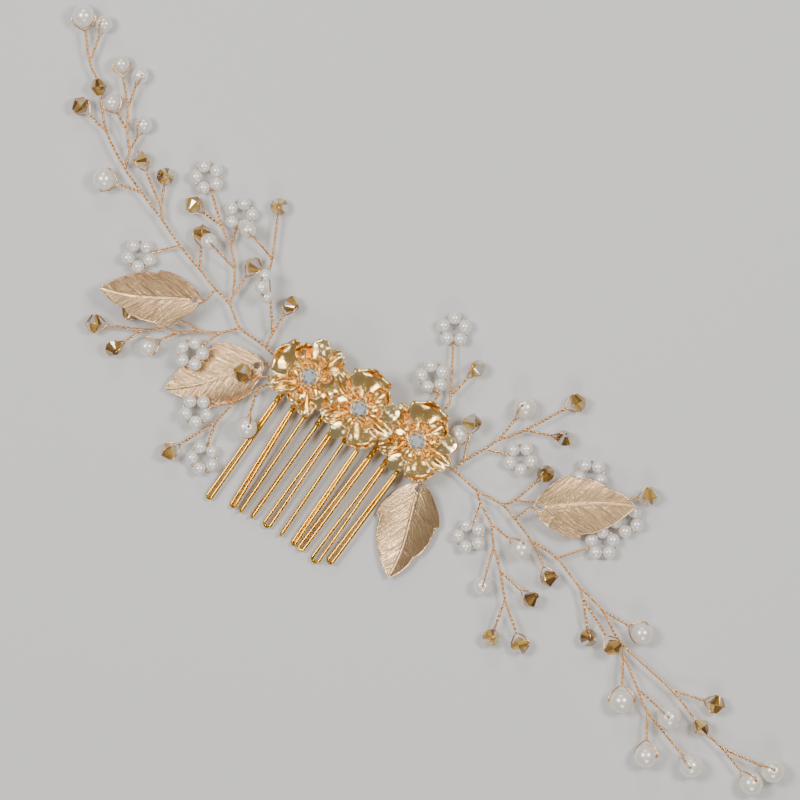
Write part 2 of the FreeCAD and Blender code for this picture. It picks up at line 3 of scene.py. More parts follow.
import json
import logging
import math
from dataclasses import dataclass, field
from enum import Enum
from typing import Any, Iterable, Optional, Sequence

import bmesh
import bpy
import numpy as np
from mathutils import Matrix, Vector

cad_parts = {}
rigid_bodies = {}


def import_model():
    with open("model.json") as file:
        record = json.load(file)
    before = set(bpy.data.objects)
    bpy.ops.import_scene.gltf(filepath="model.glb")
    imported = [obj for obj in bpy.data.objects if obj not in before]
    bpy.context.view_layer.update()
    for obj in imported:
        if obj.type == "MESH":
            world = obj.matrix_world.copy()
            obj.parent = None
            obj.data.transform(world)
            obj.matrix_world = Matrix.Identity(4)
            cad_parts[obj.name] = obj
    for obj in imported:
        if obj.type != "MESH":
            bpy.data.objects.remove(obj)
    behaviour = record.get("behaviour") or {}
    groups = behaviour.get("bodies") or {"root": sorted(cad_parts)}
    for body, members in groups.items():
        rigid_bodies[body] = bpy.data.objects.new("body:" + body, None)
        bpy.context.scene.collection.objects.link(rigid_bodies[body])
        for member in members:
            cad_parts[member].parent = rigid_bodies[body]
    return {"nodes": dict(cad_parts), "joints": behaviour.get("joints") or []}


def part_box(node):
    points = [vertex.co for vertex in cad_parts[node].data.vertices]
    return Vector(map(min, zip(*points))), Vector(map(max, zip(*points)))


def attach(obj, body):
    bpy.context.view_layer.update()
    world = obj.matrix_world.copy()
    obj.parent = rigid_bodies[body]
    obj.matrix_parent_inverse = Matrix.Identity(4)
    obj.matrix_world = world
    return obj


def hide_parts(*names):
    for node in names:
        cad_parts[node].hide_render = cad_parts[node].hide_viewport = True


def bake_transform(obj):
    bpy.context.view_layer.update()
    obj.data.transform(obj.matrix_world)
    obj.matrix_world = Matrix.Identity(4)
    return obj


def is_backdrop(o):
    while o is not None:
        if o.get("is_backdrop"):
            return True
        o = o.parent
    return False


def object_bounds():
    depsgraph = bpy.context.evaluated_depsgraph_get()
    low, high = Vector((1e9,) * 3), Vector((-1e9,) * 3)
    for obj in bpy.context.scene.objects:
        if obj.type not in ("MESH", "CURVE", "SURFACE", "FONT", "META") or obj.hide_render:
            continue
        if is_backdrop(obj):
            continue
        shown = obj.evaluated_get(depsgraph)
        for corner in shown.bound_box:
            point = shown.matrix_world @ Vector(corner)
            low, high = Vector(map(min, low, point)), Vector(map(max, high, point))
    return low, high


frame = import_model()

log = logging.getLogger("hair_comb")
MM = 0.001


# ---- finishes ----------------------------------------------------------------------------------
class Signal:
    """A number socket of a shader or geometry tree that arithmetic can be written on."""

    def __init__(self, tree: "Tree", socket: Any) -> None:
        """Keep the tree and the output socket that carries the number."""
        self.tree = tree
        self.socket = socket

    def _join(self, operation: str, first: Any, second: Any) -> "Signal":
        """Add the Math node for one operation and return its result."""
        node = self.tree.node("ShaderNodeMath", {"operation": operation}, {0: first, 1: second})
        return Signal(self.tree, node.outputs[0])

    def __add__(self, other: Any) -> "Signal":
        """Sum."""
        return self._join("ADD", self, other)

    def __radd__(self, other: Any) -> "Signal":
        """Sum, with a plain number first."""
        return self._join("ADD", other, self)

    def __sub__(self, other: Any) -> "Signal":
        """Difference."""
        return self._join("SUBTRACT", self, other)

    def __rsub__(self, other: Any) -> "Signal":
        """Difference, with a plain number first."""
        return self._join("SUBTRACT", other, self)

    def __mul__(self, other: Any) -> "Signal":
        """Product."""
        return self._join("MULTIPLY", self, other)

    def __rmul__(self, other: Any) -> "Signal":
        """Product, with a plain number first."""
        return self._join("MULTIPLY", other, self)

    def __truediv__(self, other: Any) -> "Signal":
        """Quotient."""
        return self._join("DIVIDE", self, other)

    def __rtruediv__(self, other: Any) -> "Signal":
        """Quotient, with a plain number first."""
        return self._join("DIVIDE", other, self)

    def at_least(self, other: Any) -> "Signal":
        """The larger of the two."""
        return self._join("MAXIMUM", self, other)

    def at_most(self, other: Any) -> "Signal":
        """The smaller of the two."""
        return self._join("MINIMUM", self, other)

    def wrapped(self) -> "Signal":
        """What is left over past the last whole number."""
        return self._join("FRACT", self, 0.0)

    def sine(self) -> "Signal":
        """Sine of an angle in radians."""
        return self._join("SINE", self, 0.0)

    def cosine(self) -> "Signal":
        """Cosine of an angle in radians."""
        return self._join("COSINE", self, 0.0)


class Tree:
    """A node tree with one way of adding nodes."""

    def __init__(self, tree: Any) -> None:
        """Wrap a shader or geometry tree."""
        self.tree = tree

    def node(self, kind: str, settings: Optional[dict] = None, values: Optional[dict] = None) -> Any:
        """Add a node.

        Args:
            kind: the node's type.
            settings: attributes, set first; "stops" sets a colour ramp's stops.
            values: numbers, colours or links, by socket name or number.

        Returns:
            The new node.
        """
        node = self.tree.nodes.new(kind)
        for name, value in (settings or {}).items():
            if name == "stops":
                ramp = node.color_ramp.elements
                while len(ramp) > 1:
                    ramp.remove(ramp[-1])
                ramp[0].position, ramp[0].color = value[0]
                for place, colour in value[1:]:
                    ramp.new(place).color = colour
            else:
                setattr(node, name, value)
        for name, value in (values or {}).items():
            socket = node.inputs[name]
            if isinstance(value, Signal):
                self.tree.links.new(value.socket, socket)
            elif isinstance(value, bpy.types.NodeSocket):
                self.tree.links.new(value, socket)
            else:
                socket.default_value = value
        return node

    def signal(self, socket: Any) -> Signal:
        """Wrap a number output for arithmetic."""
        return Signal(self, socket)


class Surface(Tree):
    """A material's shader tree with its Principled shader."""

    def __init__(self, name: str, constants: dict) -> None:
        """Make the material and set what is the same all over it.

        Args:
            name: the material's name.
            constants: Principled sockets and their values.
        """
        self.material = bpy.data.materials.new(name)
        self.material.use_nodes = True
        super().__init__(self.material.node_tree)
        self.shader = next(n for n in self.tree.nodes if n.type == "BSDF_PRINCIPLED")
        for socket, value in constants.items():
            self.shader.inputs[socket].default_value = value
        self.place = self.node("ShaderNodeTexCoord").outputs["Object"]

    def feed(self, socket: str, value: Any) -> None:
        """Link a value to one of the Principled shader's sockets."""
        out = value.socket if isinstance(value, Signal) else value
        self.tree.links.new(out, self.shader.inputs[socket])

    def noise(self, scale: float, detail: float = 3.0, rough: float = 0.55,
              place: Any = None) -> Signal:
        """A soft noise between 0 and 1, scale in spots per metre.

        Args:
            scale: spots per metre.
            detail: how many finer layers it has.
            rough: how strong the finer layers are.
            place: the coordinates, if not the object's own.

        Returns:
            The noise as a number.
        """
        made = self.node("ShaderNodeTexNoise", {}, {
            "Vector": place or self.place, "Scale": scale, "Detail": detail, "Roughness": rough})
        return self.signal(made.outputs["Fac"])

    def attribute(self, name: str) -> Signal:
        """A number that the mesh carries at its points."""
        return self.signal(self.node("ShaderNodeAttribute", {"attribute_name": name}).outputs["Fac"])

    def blend(self, share: Any, first: Any, second: Any) -> Any:
        """Mix two colours.

        Args:
            share: 0 for the first, 1 for the second.
            first: a colour or a colour socket.
            second: a colour or a colour socket.

        Returns:
            The mixed colour's socket.
        """
        mix = self.node("ShaderNodeMix", {"data_type": "RGBA"}, {0: share, 6: first, 7: second})
        return mix.outputs[2]

    def bumps(self, height: Signal, depth: float, strength: float = 1.0) -> None:
        """Raise the surface by a height between 0 and 1, depth in metres.

        Args:
            height: the height as a number.
            depth: how far 1 stands above 0, in metres.
            strength: share of the bump that shows.
        """
        made = self.node("ShaderNodeBump", {}, {
            "Height": height, "Distance": depth, "Strength": strength})
        self.feed("Normal", made.outputs["Normal"])


def rgba(colour: Sequence[float]) -> tuple:
    """A colour with full alpha."""
    return (*colour, 1.0)


@dataclass(frozen=True)
class PlatedMetal:
    """Plated metal: polished or brushed, with small dents, and where asked a painted shade, warmer and
    darker, in the deep parts of the mesh.
    """

    name: str
    bright: tuple
    deep: tuple
    rough: float = 0.12
    rough_spread: float = 0.12
    spots: float = 900.0         # soft unevenness, per metre
    dent: float = 0.00002        # metres
    # paints a warmer, darker shade into the deep parts, read from the depth attribute
    painted_hollow_shade: bool = False        # reads the mesh's own depth attribute

    def material(self) -> bpy.types.Material:
        """Build the material.

        Returns:
            The material.
        """
        surface = Surface(self.name, {"Metallic": 1.0})
        cloud = surface.noise(self.spots, 4.0)
        fine = surface.noise(self.spots * 7, 2.0)
        # When asked, the depth attribute paints a warmer, darker shade into the deep parts; otherwise a soft
        # noise gives a random tone.
        share = surface.attribute("depth") if self.painted_hollow_shade else (cloud - 0.35).at_least(0.0) * 1.2
        surface.feed("Base Color", surface.blend(share, rgba(self.bright), rgba(self.deep)))
        surface.feed("Roughness", self.rough + (cloud * 0.7 + fine * 0.3) * self.rough_spread)
        surface.bumps(cloud * 0.75 + fine * 0.25, self.dent)
        return surface.material


@dataclass(frozen=True)
class StampedMetal:
    """Champagne gold sheet, brushed along its veins: satin inside, with painted shade along its fine vein
    lines, bright on its rim and midrib where that shade is lifted.
    """

    name: str
    bright: tuple
    deep: tuple
    scratch: float = 3600.0      # fine scratches, per metre

    def material(self) -> bpy.types.Material:
        """Build the material from the leaf's own map, which runs across and along the veins.

        Returns:
            The material.
        """
        surface = Surface(self.name, {"Metallic": 1.0})
        flat = surface.node("ShaderNodeUVMap", {"uv_map": "leaf"}).outputs["UV"]
        drawn = surface.node("ShaderNodeMapping", {}, {"Vector": flat, "Scale": (1.0, 0.045, 1.0)})
        brushed = surface.noise(self.scratch, 4.0, 0.7, drawn.outputs["Vector"])
        cloud = surface.noise(300.0, 3.0)
        edge = surface.attribute("edge")
        # The scratch lines paint dark shade into the grooves along the veins, with a random cloud tone; on
        # the rim, midrib and hole that painted shade is lifted.
        lines = ((brushed - 0.38) * 3.6).at_least(0.0).at_most(1.0)
        share = (lines * 0.85 + cloud * 0.5 - 0.25).at_least(0.0).at_most(1.0) * (1 - edge * 0.9)
        surface.feed("Base Color", surface.blend(share, rgba(self.bright), rgba(self.deep)))
        surface.feed("Roughness", (0.20 + lines * 0.14) * (1 - edge * 0.5))
        surface.bumps(lines, 0.00005, 0.9)
        return surface.material


@dataclass(frozen=True)
class Pearl:
    """Imitation pearl: a hard clear lacquer over a lustrous coat, each bead a little different."""

    name: str
    light: tuple
    warm: tuple

    def material(self) -> bpy.types.Material:
        """Build the material.

        Returns:
            The material.
        """
        surface = Surface(self.name, {
            "IOR": 1.6, "Coat Weight": 1.0, "Coat Roughness": 0.07,
            "Coat IOR": 1.6, "Sheen Weight": 0.15, "Sheen Roughness": 0.4})
        cloud = surface.noise(420.0, 3.0)
        tone = surface.attribute("tone")
        share = (cloud * 0.8 + tone * 0.5 - 0.3).at_least(0.0).at_most(1.0)
        surface.feed("Base Color", surface.blend(share, rgba(self.light), rgba(self.warm)))
        surface.feed("Roughness", 0.26 + surface.noise(2600.0, 2.0) * 0.10)
        surface.feed("Metallic", 0.24 + cloud * 0.14)
        surface.bumps(surface.noise(1500.0, 2.0), 0.000012)
        return surface.material


@dataclass(frozen=True)
class CutGlass:
    """Cut glass over a thin mirror: each facet is painted another colour, a painted reflection of what lies
    behind it, from dark to a bright glint.
    """

    name: str
    # painted reflections, from a dark facet to a bright glint
    facets: tuple                # the colours that a facet can take, dark to light
    clear: float = 0.35
    metal: float = 0.3
    ior: float = 1.6

    def material(self) -> bpy.types.Material:
        """Build the material from each facet's number and each bead's tone, which pick each facet's painted
        reflection.

        Returns:
            The material.
        """
        surface = Surface(self.name, {
            "Transmission Weight": self.clear, "Metallic": self.metal, "IOR": self.ior,
            "Coat Roughness": 0.02, "Coat IOR": 1.8})
        # Each facet's number picks a painted reflection from the ramp, from a dark facet to a bright glint,
        # different on each bead.
        number = (surface.attribute("facet") + surface.attribute("tone") * 3.7).wrapped()
        inside = number + surface.noise(900.0, 2.0) * 0.30 - 0.15
        stops = [(place, rgba(colour)) for place, colour in self.facets]
        ramp = surface.node("ShaderNodeValToRGB", {"stops": stops}, {"Fac": inside})
        surface.feed("Base Color", ramp.outputs["Color"])
        surface.feed("Roughness", 0.03 + number * 0.06)
        surface.feed("Coat Weight", 0.7 + number * 0.3)
        return surface.material


class Finish(Enum):
    """The finishes of the piece, each with the record's slot that it belongs to."""

    TOOTH = ("comb_wire", PlatedMetal("tooth_gold", (0.80, 0.45, 0.06), (0.52, 0.27, 0.02), 0.13, 0.06,
                                      spots=160.0, dent=0.000006))
    WIRE = ("twisted_wire", PlatedMetal("wire_rose_gold", (0.92, 0.56, 0.26), (0.60, 0.28, 0.08), 0.14, 0.10,
                                        dent=0.000006))
    # The petals' deep colour is painted shade, warmer and darker, in their hollow parts.
    CAST = ("cast_gold", PlatedMetal("petal_gold", (1.0, 0.77, 0.39), (0.95, 0.57, 0.17), 0.13, 0.10,
                                     dent=0.00007, painted_hollow_shade=True))
    CUP = ("stone_cup", PlatedMetal("cup_gold", (0.98, 0.70, 0.32), (0.82, 0.45, 0.12), 0.12, 0.08,
                                    dent=0.00001))
    # The leaf's dark colour is painted shade in the grooves of its veins.
    LEAF = ("leaf_gold", StampedMetal("leaf_champagne", (0.95, 0.63, 0.34), (0.20, 0.10, 0.04)))
    PEARL = ("pearl", Pearl("pearl_ivory", (0.96, 0.91, 0.83), (0.88, 0.79, 0.67)))
    RING_PEARL = ("small_pearl", Pearl("pearl_white", (0.97, 0.93, 0.88), (0.90, 0.84, 0.76)))
    # The facet colours of the crystals and stones are painted reflections and glints; the pale lilac is a
    # painted reflection of a white surface.
    AMBER = ("amber_glass", CutGlass("amber_crystal", (
        (0.0, (0.10, 0.045, 0.008)), (0.30, (0.34, 0.16, 0.02)), (0.58, (0.72, 0.40, 0.06)),
        (0.84, (0.95, 0.66, 0.18)), (0.95, (0.82, 0.78, 0.90)))))
    CLEAR = ("clear_stone", CutGlass("clear_crystal", (
        (0.0, (0.10, 0.10, 0.11)), (0.22, (0.50, 0.51, 0.53)), (0.42, (0.95, 0.95, 0.97)),
        (0.75, (1.0, 1.0, 1.0))), 0.12, 0.45, 1.7))
    FOIL = ("clear_stone", PlatedMetal("stone_foil", (0.92, 0.93, 0.95), (0.70, 0.72, 0.76), 0.12, 0.1))

    @property
    def slot(self) -> str:
        """The record's material slot."""
        return self.value[0]

    def material(self) -> bpy.types.Material:
        """The material, made once."""
        made = bpy.data.materials.get(self.value[1].name)
        return made or self.value[1].material()


# ---- reading the frame --------------------------------------------------------------------------
@dataclass
class Solid:
    """One closed solid of a CAD node, its points welded."""

    points: np.ndarray
    edges: np.ndarray

    @classmethod
    def of(cls, node: str) -> list["Solid"]:
        """Split a CAD node into its solids.

        Args:
            node: the node's name.

        Returns:
            Its solids, in the order of their first points.
        """
        mesh = frame["nodes"][node].data
        co = np.zeros(len(mesh.vertices) * 3)
        mesh.vertices.foreach_get("co", co)
        corner = np.zeros(len(mesh.loops), int)
        mesh.loops.foreach_get("vertex_index", corner)
        points, index = np.unique(np.round(co.reshape(-1, 3), 7), axis=0, return_inverse=True)
        tris = index.ravel()[corner].reshape(-1, 3)
        edges = np.vstack([tris[:, [0, 1]], tris[:, [1, 2]], tris[:, [2, 0]]])
        label = np.arange(len(points))
        while True:
            low = np.minimum(label[edges[:, 0]], label[edges[:, 1]])
            new = label.copy()
            np.minimum.at(new, edges[:, 0], low)
            np.minimum.at(new, edges[:, 1], low)
            new = new[new]
            if (new == label).all():
                break
            label = new
        solids = []
        for mark in np.unique(label):
            chosen = np.flatnonzero(label == mark)
            local = np.full(len(points), -1)
            local[chosen] = np.arange(len(chosen))
            own = edges[label[edges[:, 0]] == mark]
            solids.append(cls(points[chosen], local[own]))
        return solids

    def rod(self) -> Optional[tuple[Vector, Vector, float]]:
        """Both ends and the radius, if the solid is a straight round rod.

        Returns:
            Its two ends and its radius, or nothing if it is not a rod.
        """
        middle = self.points.mean(0)
        axes = np.linalg.svd(self.points - middle, full_matrices=False)[2]
        spread = (self.points - middle) @ axes.T
        size = np.ptp(spread, axis=0)
        if size[1] > 1.1 * MM or size[0] < 0.9 * size[1]:
            return None
        halfway = (spread[:, 0].min() + spread[:, 0].max()) / 2
        ends = [self.points[spread[:, 0] < halfway].mean(0), self.points[spread[:, 0] >= halfway].mean(0)]
        return Vector(ends[0]), Vector(ends[1]), float(size[2]) / 2

    def hole(self) -> tuple[Vector, Vector, float, float]:
        """Middle, direction, length of the hole through a bead, and the bead's radius about it.

        Returns:
            The four in that order, in metres.
        """
        a, b = self.points[self.edges[:, 0]], self.points[self.edges[:, 1]]
        length = np.linalg.norm(b - a, axis=1)
        long = length > 0.97 * length.max()
        way = (b - a)[long]
        way[way @ way[0] < 0] *= -1
        axis = way.mean(0)
        axis = axis / np.linalg.norm(axis)
        middle = ((a + b) / 2)[long].mean(0)
        off = self.points - middle
        across = np.linalg.norm(off - np.outer(off @ axis, axis), axis=1)
        return Vector(middle), Vector(axis), float(length[long].min()), float(across.max())


@dataclass
class Bead:
    """A bead on the wire: its middle, its hole's direction and its size."""

    middle: Vector
    hole: Vector
    half: float          # half the hole's length
    radius: float        # about the hole

    @classmethod
    def of(cls, node: str) -> list["Bead"]:
        """The beads of a CAD node.

        Args:
            node: the node's name.

        Returns:
            One bead for each solid.
        """
        found = []
        for solid in Solid.of(node):
            middle, hole, length, radius = solid.hole()
            found.append(cls(middle, hole, length / 2, radius))
        return found


# ---- things that repeat or follow a path ----------------------------------------------------------
class Growth(Tree):
    """A Geometry Nodes tree with named inputs, run once on a bare mesh."""

    KINDS = {float: "NodeSocketFloat", bpy.types.Object: "NodeSocketObject",
             bpy.types.Material: "NodeSocketMaterial"}

    def __init__(self, name: str, inputs: dict[str, type]) -> None:
        """Make the tree with its inputs.

        Args:
            name: the tree's name.
            inputs: each input's name and type.
        """
        group = bpy.data.node_groups.new(name, "GeometryNodeTree")
        super().__init__(group)
        group.interface.new_socket("Geometry", in_out="INPUT", socket_type="NodeSocketGeometry")
        group.interface.new_socket("Geometry", in_out="OUTPUT", socket_type="NodeSocketGeometry")
        for label, kind in {**inputs, "Material": bpy.types.Material}.items():
            group.interface.new_socket(label, in_out="INPUT", socket_type=self.KINDS[kind])
        self.entry = group.nodes.new("NodeGroupInput")

    def input(self, name: str) -> Any:
        """One input's socket."""
        return self.entry.outputs[name]

    def number(self, name: str) -> Signal:
        """One input as a number for arithmetic."""
        return self.signal(self.entry.outputs[name])

    def close(self, geometry: Any) -> None:
        """End the tree in real, dressed geometry.

        Args:
            geometry: the socket that carries the finished shape.
        """
        real = self.node("GeometryNodeRealizeInstances", {}, {"Geometry": geometry})
        dressed = self.node("GeometryNodeSetMaterial", {}, {
            "Geometry": real.outputs[0], "Material": self.input("Material")})
        out = self.tree.nodes.new("NodeGroupOutput")
        self.tree.links.new(dressed.outputs[0], out.inputs[0])

    def run(self, source: bpy.types.Mesh, material: bpy.types.Material, **values: Any) -> bpy.types.Mesh:
        """Run the tree on a bare mesh and return the plain mesh that it makes.

        Args:
            source: bare points or edges.
            material: what the result is made of.
            values: the tree's inputs by name.

        Returns:
            A plain mesh with that material.
        """
        carrier = bpy.data.objects.new("carrier", source)
        bpy.context.scene.collection.objects.link(carrier)
        modifier = carrier.modifiers.new("growth", "NODES")
        modifier.node_group = self.tree
        known = {item.name: item.identifier for item in self.tree.interface.items_tree}
        for name, value in {**values, "Material": material}.items():
            modifier[known[name.replace("_", " ")]] = value
        depsgraph = bpy.context.evaluated_depsgraph_get()
        made = bpy.data.meshes.new_from_object(carrier.evaluated_get(depsgraph))
        carrier.modifiers.remove(modifier)
        bpy.data.objects.remove(carrier)
        made.materials.clear()
        made.materials.append(material)
        return made


def swept(tree: Growth, curve: Any, radius: Any, sides: int) -> Any:
    """Sweep a round wire along a curve.

    Args:
        tree: the tree to add to.
        curve: the curve's socket.
        radius: the wire's radius.
        sides: corners of the wire's section.

    Returns:
        The wire's socket.
    """
    ring = tree.node("GeometryNodeCurvePrimitiveCircle", {}, {"Resolution": sides, "Radius": radius})
    tube = tree.node("GeometryNodeCurveToMesh", {}, {
        "Curve": curve, "Profile Curve": ring.outputs["Curve"], "Fill Caps": True})
    return tree.node("GeometryNodeSetShadeSmooth", {}, {"Geometry": tube.outputs[0]}).outputs[0]


def smooth_path(tree: Growth) -> Any:
    """Turn the bare edges that come in into smooth, evenly divided curves.

    Args:
        tree: the tree to add to.

    Returns:
        The curves' socket.
    """
    curve = tree.node("GeometryNodeMeshToCurve", {}, {"Mesh": tree.input("Geometry")})
    soft = tree.node("GeometryNodeCurveSplineType", {"spline_type": "CATMULL_ROM"}, {
        "Curve": curve.outputs[0]})
    even = tree.node("GeometryNodeResampleCurve", {"mode": "LENGTH"}, {
        "Curve": soft.outputs[0], "Length": tree.input("Step")})
    return even.outputs[0]


def twisted_pair_tree() -> Growth:
    """Two strands wound round a path by hand, so that the winding is a little uneven.

    Returns:
        The tree, with the inputs Strand, Turn, Step and Offset.
    """
    tree = Growth("twisted_pair", {"Strand": float, "Turn": float, "Step": float, "Offset": float})
    path = smooth_path(tree)
    along = tree.signal(tree.node("GeometryNodeSplineParameter").outputs["Length"])
    tangent = tree.node("GeometryNodeInputTangent").outputs[0]
    normal = tree.node("GeometryNodeInputNormal").outputs[0]
    side = tree.node("ShaderNodeVectorMath", {"operation": "CROSS_PRODUCT"}, {
        0: tangent, 1: normal}).outputs[0]
    place = tree.node("GeometryNodeInputPosition").outputs[0]
    drift = tree.signal(tree.node("ShaderNodeTexNoise", {}, {
        "Vector": place, "Scale": 160.0, "Detail": 1.0}).outputs["Fac"])
    angle = along * (2 * math.pi) / tree.number("Turn") + drift * 5.0
    strands = []
    for phase in (0.0, math.pi):
        turned = angle + phase
        parts = []
        for share, way in ((turned.cosine(), normal), (turned.sine(), side)):
            parts.append(tree.node("ShaderNodeVectorMath", {"operation": "SCALE"}, {
                0: way, "Scale": share * tree.number("Offset")}).outputs[0])
        shift = tree.node("ShaderNodeVectorMath", {"operation": "ADD"}, {0: parts[0], 1: parts[1]})
        moved = tree.node("GeometryNodeSetPosition", {}, {"Geometry": path, "Offset": shift.outputs[0]})
        strands.append(swept(tree, moved.outputs[0], tree.input("Strand"), 8))
    join = tree.tree.nodes.new("GeometryNodeJoinGeometry")
    for strand in strands:
        tree.tree.links.new(strand, join.inputs[0])
    tree.close(join.outputs[0])
    return tree


def plain_wire_tree() -> Growth:
    """One wire along a path.

    Returns:
        The tree, with the inputs Strand and Step.
    """
    tree = Growth("plain_wire", {"Strand": float, "Step": float})
    tree.close(swept(tree, smooth_path(tree), tree.input("Strand"), 8))
    return tree


def strung_tree() -> Growth:
    """One copy of a bead at each point, its hole along the point's own direction.

    Returns:
        The tree, with the input Bead.
    """
    tree = Growth("strung_beads", {"Bead": bpy.types.Object})
    hole = tree.node("GeometryNodeInputNamedAttribute", {"data_type": "FLOAT_VECTOR"}, {"Name": "hole"})
    size = tree.node("GeometryNodeInputNamedAttribute", {"data_type": "FLOAT"}, {"Name": "size"})
    turn = tree.node("FunctionNodeAlignRotationToVector", {"axis": "Z"}, {"Vector": hole.outputs[0]})
    bead = tree.node("GeometryNodeObjectInfo", {}, {"Object": tree.input("Bead")})
    copies = tree.node("GeometryNodeInstanceOnPoints", {}, {
        "Points": tree.input("Geometry"), "Instance": bead.outputs["Geometry"],
        "Rotation": turn.outputs[0], "Scale": size.outputs[0]})
    tree.close(copies.outputs[0])
    return tree


def path_mesh(paths: Iterable[tuple[Sequence[Vector], bool]]) -> bpy.types.Mesh:
    """Bare edges along each path.

    Args:
        paths: the points of each path, and whether it closes on itself.

    Returns:
        A mesh with only points and edges.
    """
    points: list[Vector] = []
    edges: list[tuple[int, int]] = []
    for path, closed in paths:
        first = len(points)
        points.extend(path)
        edges.extend((i, i + 1) for i in range(first, len(points) - 1))
        if closed:
            edges.append((len(points) - 1, first))
    mesh = bpy.data.meshes.new("path")
    mesh.from_pydata([tuple(p) for p in points], edges, [])
    return mesh


def carry(mesh: bpy.types.Mesh, name: str, values: Sequence[float], where: str = "POINT") -> None:
    """Let a mesh carry one number at each of its points or faces."""
    mesh.attributes.new(name, "FLOAT", where).data.foreach_set("value", values)


def written(work: bmesh.types.BMesh, name: str) -> bpy.types.Mesh:
    """Write a mesh under construction out as a new mesh.

    Args:
        work: the mesh under construction, which is freed.
        name: the new mesh's name.

    Returns:
        The new mesh.
    """
    mesh = bpy.data.meshes.new(name)
    work.to_mesh(mesh)
    work.free()
    return mesh


def bead_points(beads: Sequence[Bead], sizes: Sequence[float]) -> bpy.types.Mesh:
    """Bare points that carry each bead's hole direction, size and tone.

    Args:
        beads: the beads.
        sizes: the scale of each bead's copy.

    Returns:
        A mesh with only points.
    """
    mesh = bpy.data.meshes.new("beads")
    mesh.from_pydata([tuple(b.middle) for b in beads], [], [])
    hole = mesh.attributes.new("hole", "FLOAT_VECTOR", "POINT")
    hole.data.foreach_set("vector", np.array([tuple(b.hole) for b in beads]).ravel())
    carry(mesh, "size", sizes)
    carry(mesh, "tone", [abs(math.sin(b.middle.x * 9137.0 + b.middle.y * 4211.0)) for b in beads])
    return mesh


def mesh_of(points: Sequence, faces: Sequence, name: str = "part", smooth: bool = True) -> bpy.types.Mesh:
    """A mesh from points and faces, with its doubles merged and its faces turned outwards.

    Args:
        points: its points.
        faces: its faces, by the numbers of their points.
        name: its name.
        smooth: whether its faces are shaded smooth.

    Returns:
        The mesh.
    """
    mesh = bpy.data.meshes.new(name)
    mesh.from_pydata([tuple(p) for p in points], [], [tuple(f) for f in faces])
    work = bmesh.new()
    work.from_mesh(mesh)
    bmesh.ops.remove_doubles(work, verts=work.verts, dist=1e-7)
    bmesh.ops.recalc_face_normals(work, faces=work.faces)
    for face in work.faces:
        face.smooth = smooth
    work.to_mesh(mesh)
    work.free()
    return mesh


def ring_faces(rows: int, columns: int) -> list[tuple[int, int, int, int]]:
    """Faces between rows of points that each go once round, the last row joined to the first.

    Args:
        rows: how many rows.
        columns: points in each row.

    Returns:
        The faces, by the numbers of their points.
    """
    return [(r * columns + c, r * columns + (c + 1) % columns,
             (r + 1) % rows * columns + (c + 1) % columns, (r + 1) % rows * columns + c)
            for r in range(rows) for c in range(columns)]


def turned_mesh(profile: Sequence[tuple[float, float]], segments: int, name: str) -> bpy.types.Mesh:
    """Turn a closed outline of (radius, height) about Z.

    Args:
        profile: the outline.
        segments: steps of the turn.
        name: the mesh's name.

    Returns:
        The turned mesh.
    """
    points = [(r * math.cos(a), r * math.sin(a), z) for r, z in profile
              for a in (2 * math.pi * i / segments for i in range(segments))]
    return mesh_of(points, ring_faces(len(profile), segments), name)


def faceted(mesh: bpy.types.Mesh) -> bpy.types.Mesh:
    """Leave a mesh's faces flat and give each facet its own number between 0 and 1.

    Args:
        mesh: the mesh to change.

    Returns:
        The same mesh.
    """
    numbers = []
    for polygon in mesh.polygons:
        polygon.use_smooth = False
        normal = polygon.normal
        numbers.append(math.sin(normal.x * 53.1 + normal.y * 91.7 + normal.z * 37.9) * 4357.0 % 1.0)
    carry(mesh, "facet", numbers, "FACE")
    return mesh


def hidden_object(mesh: bpy.types.Mesh) -> bpy.types.Object:
    """An object for the trees to copy, left out of the scene."""
    return bpy.data.objects.new(mesh.name, mesh)


def joined(name: str, meshes: Sequence[bpy.types.Mesh]) -> bpy.types.Object:
    """One object from several meshes, each with its own material.

    Args:
        name: the object's name.
        meshes: its parts.

    Returns:
        The object, linked to the scene.
    """
    work = bmesh.new()
    materials: list[bpy.types.Material] = []
    for mesh in meshes:
        first = len(work.faces)
        work.from_mesh(mesh)
        material = mesh.materials[0]
        if material not in materials:
            materials.append(material)
        work.faces.ensure_lookup_table()
        for face in work.faces[first:]:
            face.material_index = materials.index(material)
    whole = written(work, name)
    for material in materials:
        whole.materials.append(material)
    piece = bpy.data.objects.new(name, whole)
    bpy.context.scene.collection.objects.link(piece)
    return piece


def dressed(mesh: bpy.types.Mesh, finish: Finish) -> bpy.types.Mesh:
    """Give a mesh its finish.

    Args:
        mesh: the mesh to change.
        finish: what it is made of.

    Returns:
        The same mesh.
    """
    mesh.materials.clear()
    mesh.materials.append(finish.material())
    return mesh


def mount(piece: bpy.types.Object, body: str, finish: Finish, *nodes: str) -> bpy.types.Object:
    """Let a piece ride on its body in place of CAD nodes, and report it.

    Args:
        piece: the piece.
        body: the body's name.
        finish: not used.
        nodes: the CAD nodes that it stands for.

    Returns:
        The same piece.
    """
    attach(piece, body)
    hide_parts(*nodes)
    log.info("%s rides on %s", piece.name, body)
    return piece


# ---- twisted sprays -------------------------------------------------------------------------------
def nearest_point(point: Vector, runs: Sequence[Sequence[Vector]]) -> tuple[float, Vector]:
    """How far a point is from some runs, and the place on them that is nearest.

    Args:
        point: the point.
        runs: the runs, each a list of points.

    Returns:
        The distance and the place.
    """
    best = (math.inf, point.copy())
    for run in runs:
        for a, b in zip(run, run[1:]):
            along = b - a
            share = min(1.0, max(0.0, (point - a).dot(along) / max(along.length_squared, 1e-12)))
            place = a + along * share
            best = min(best, ((point - place).length, place), key=lambda found: found[0])
    return best


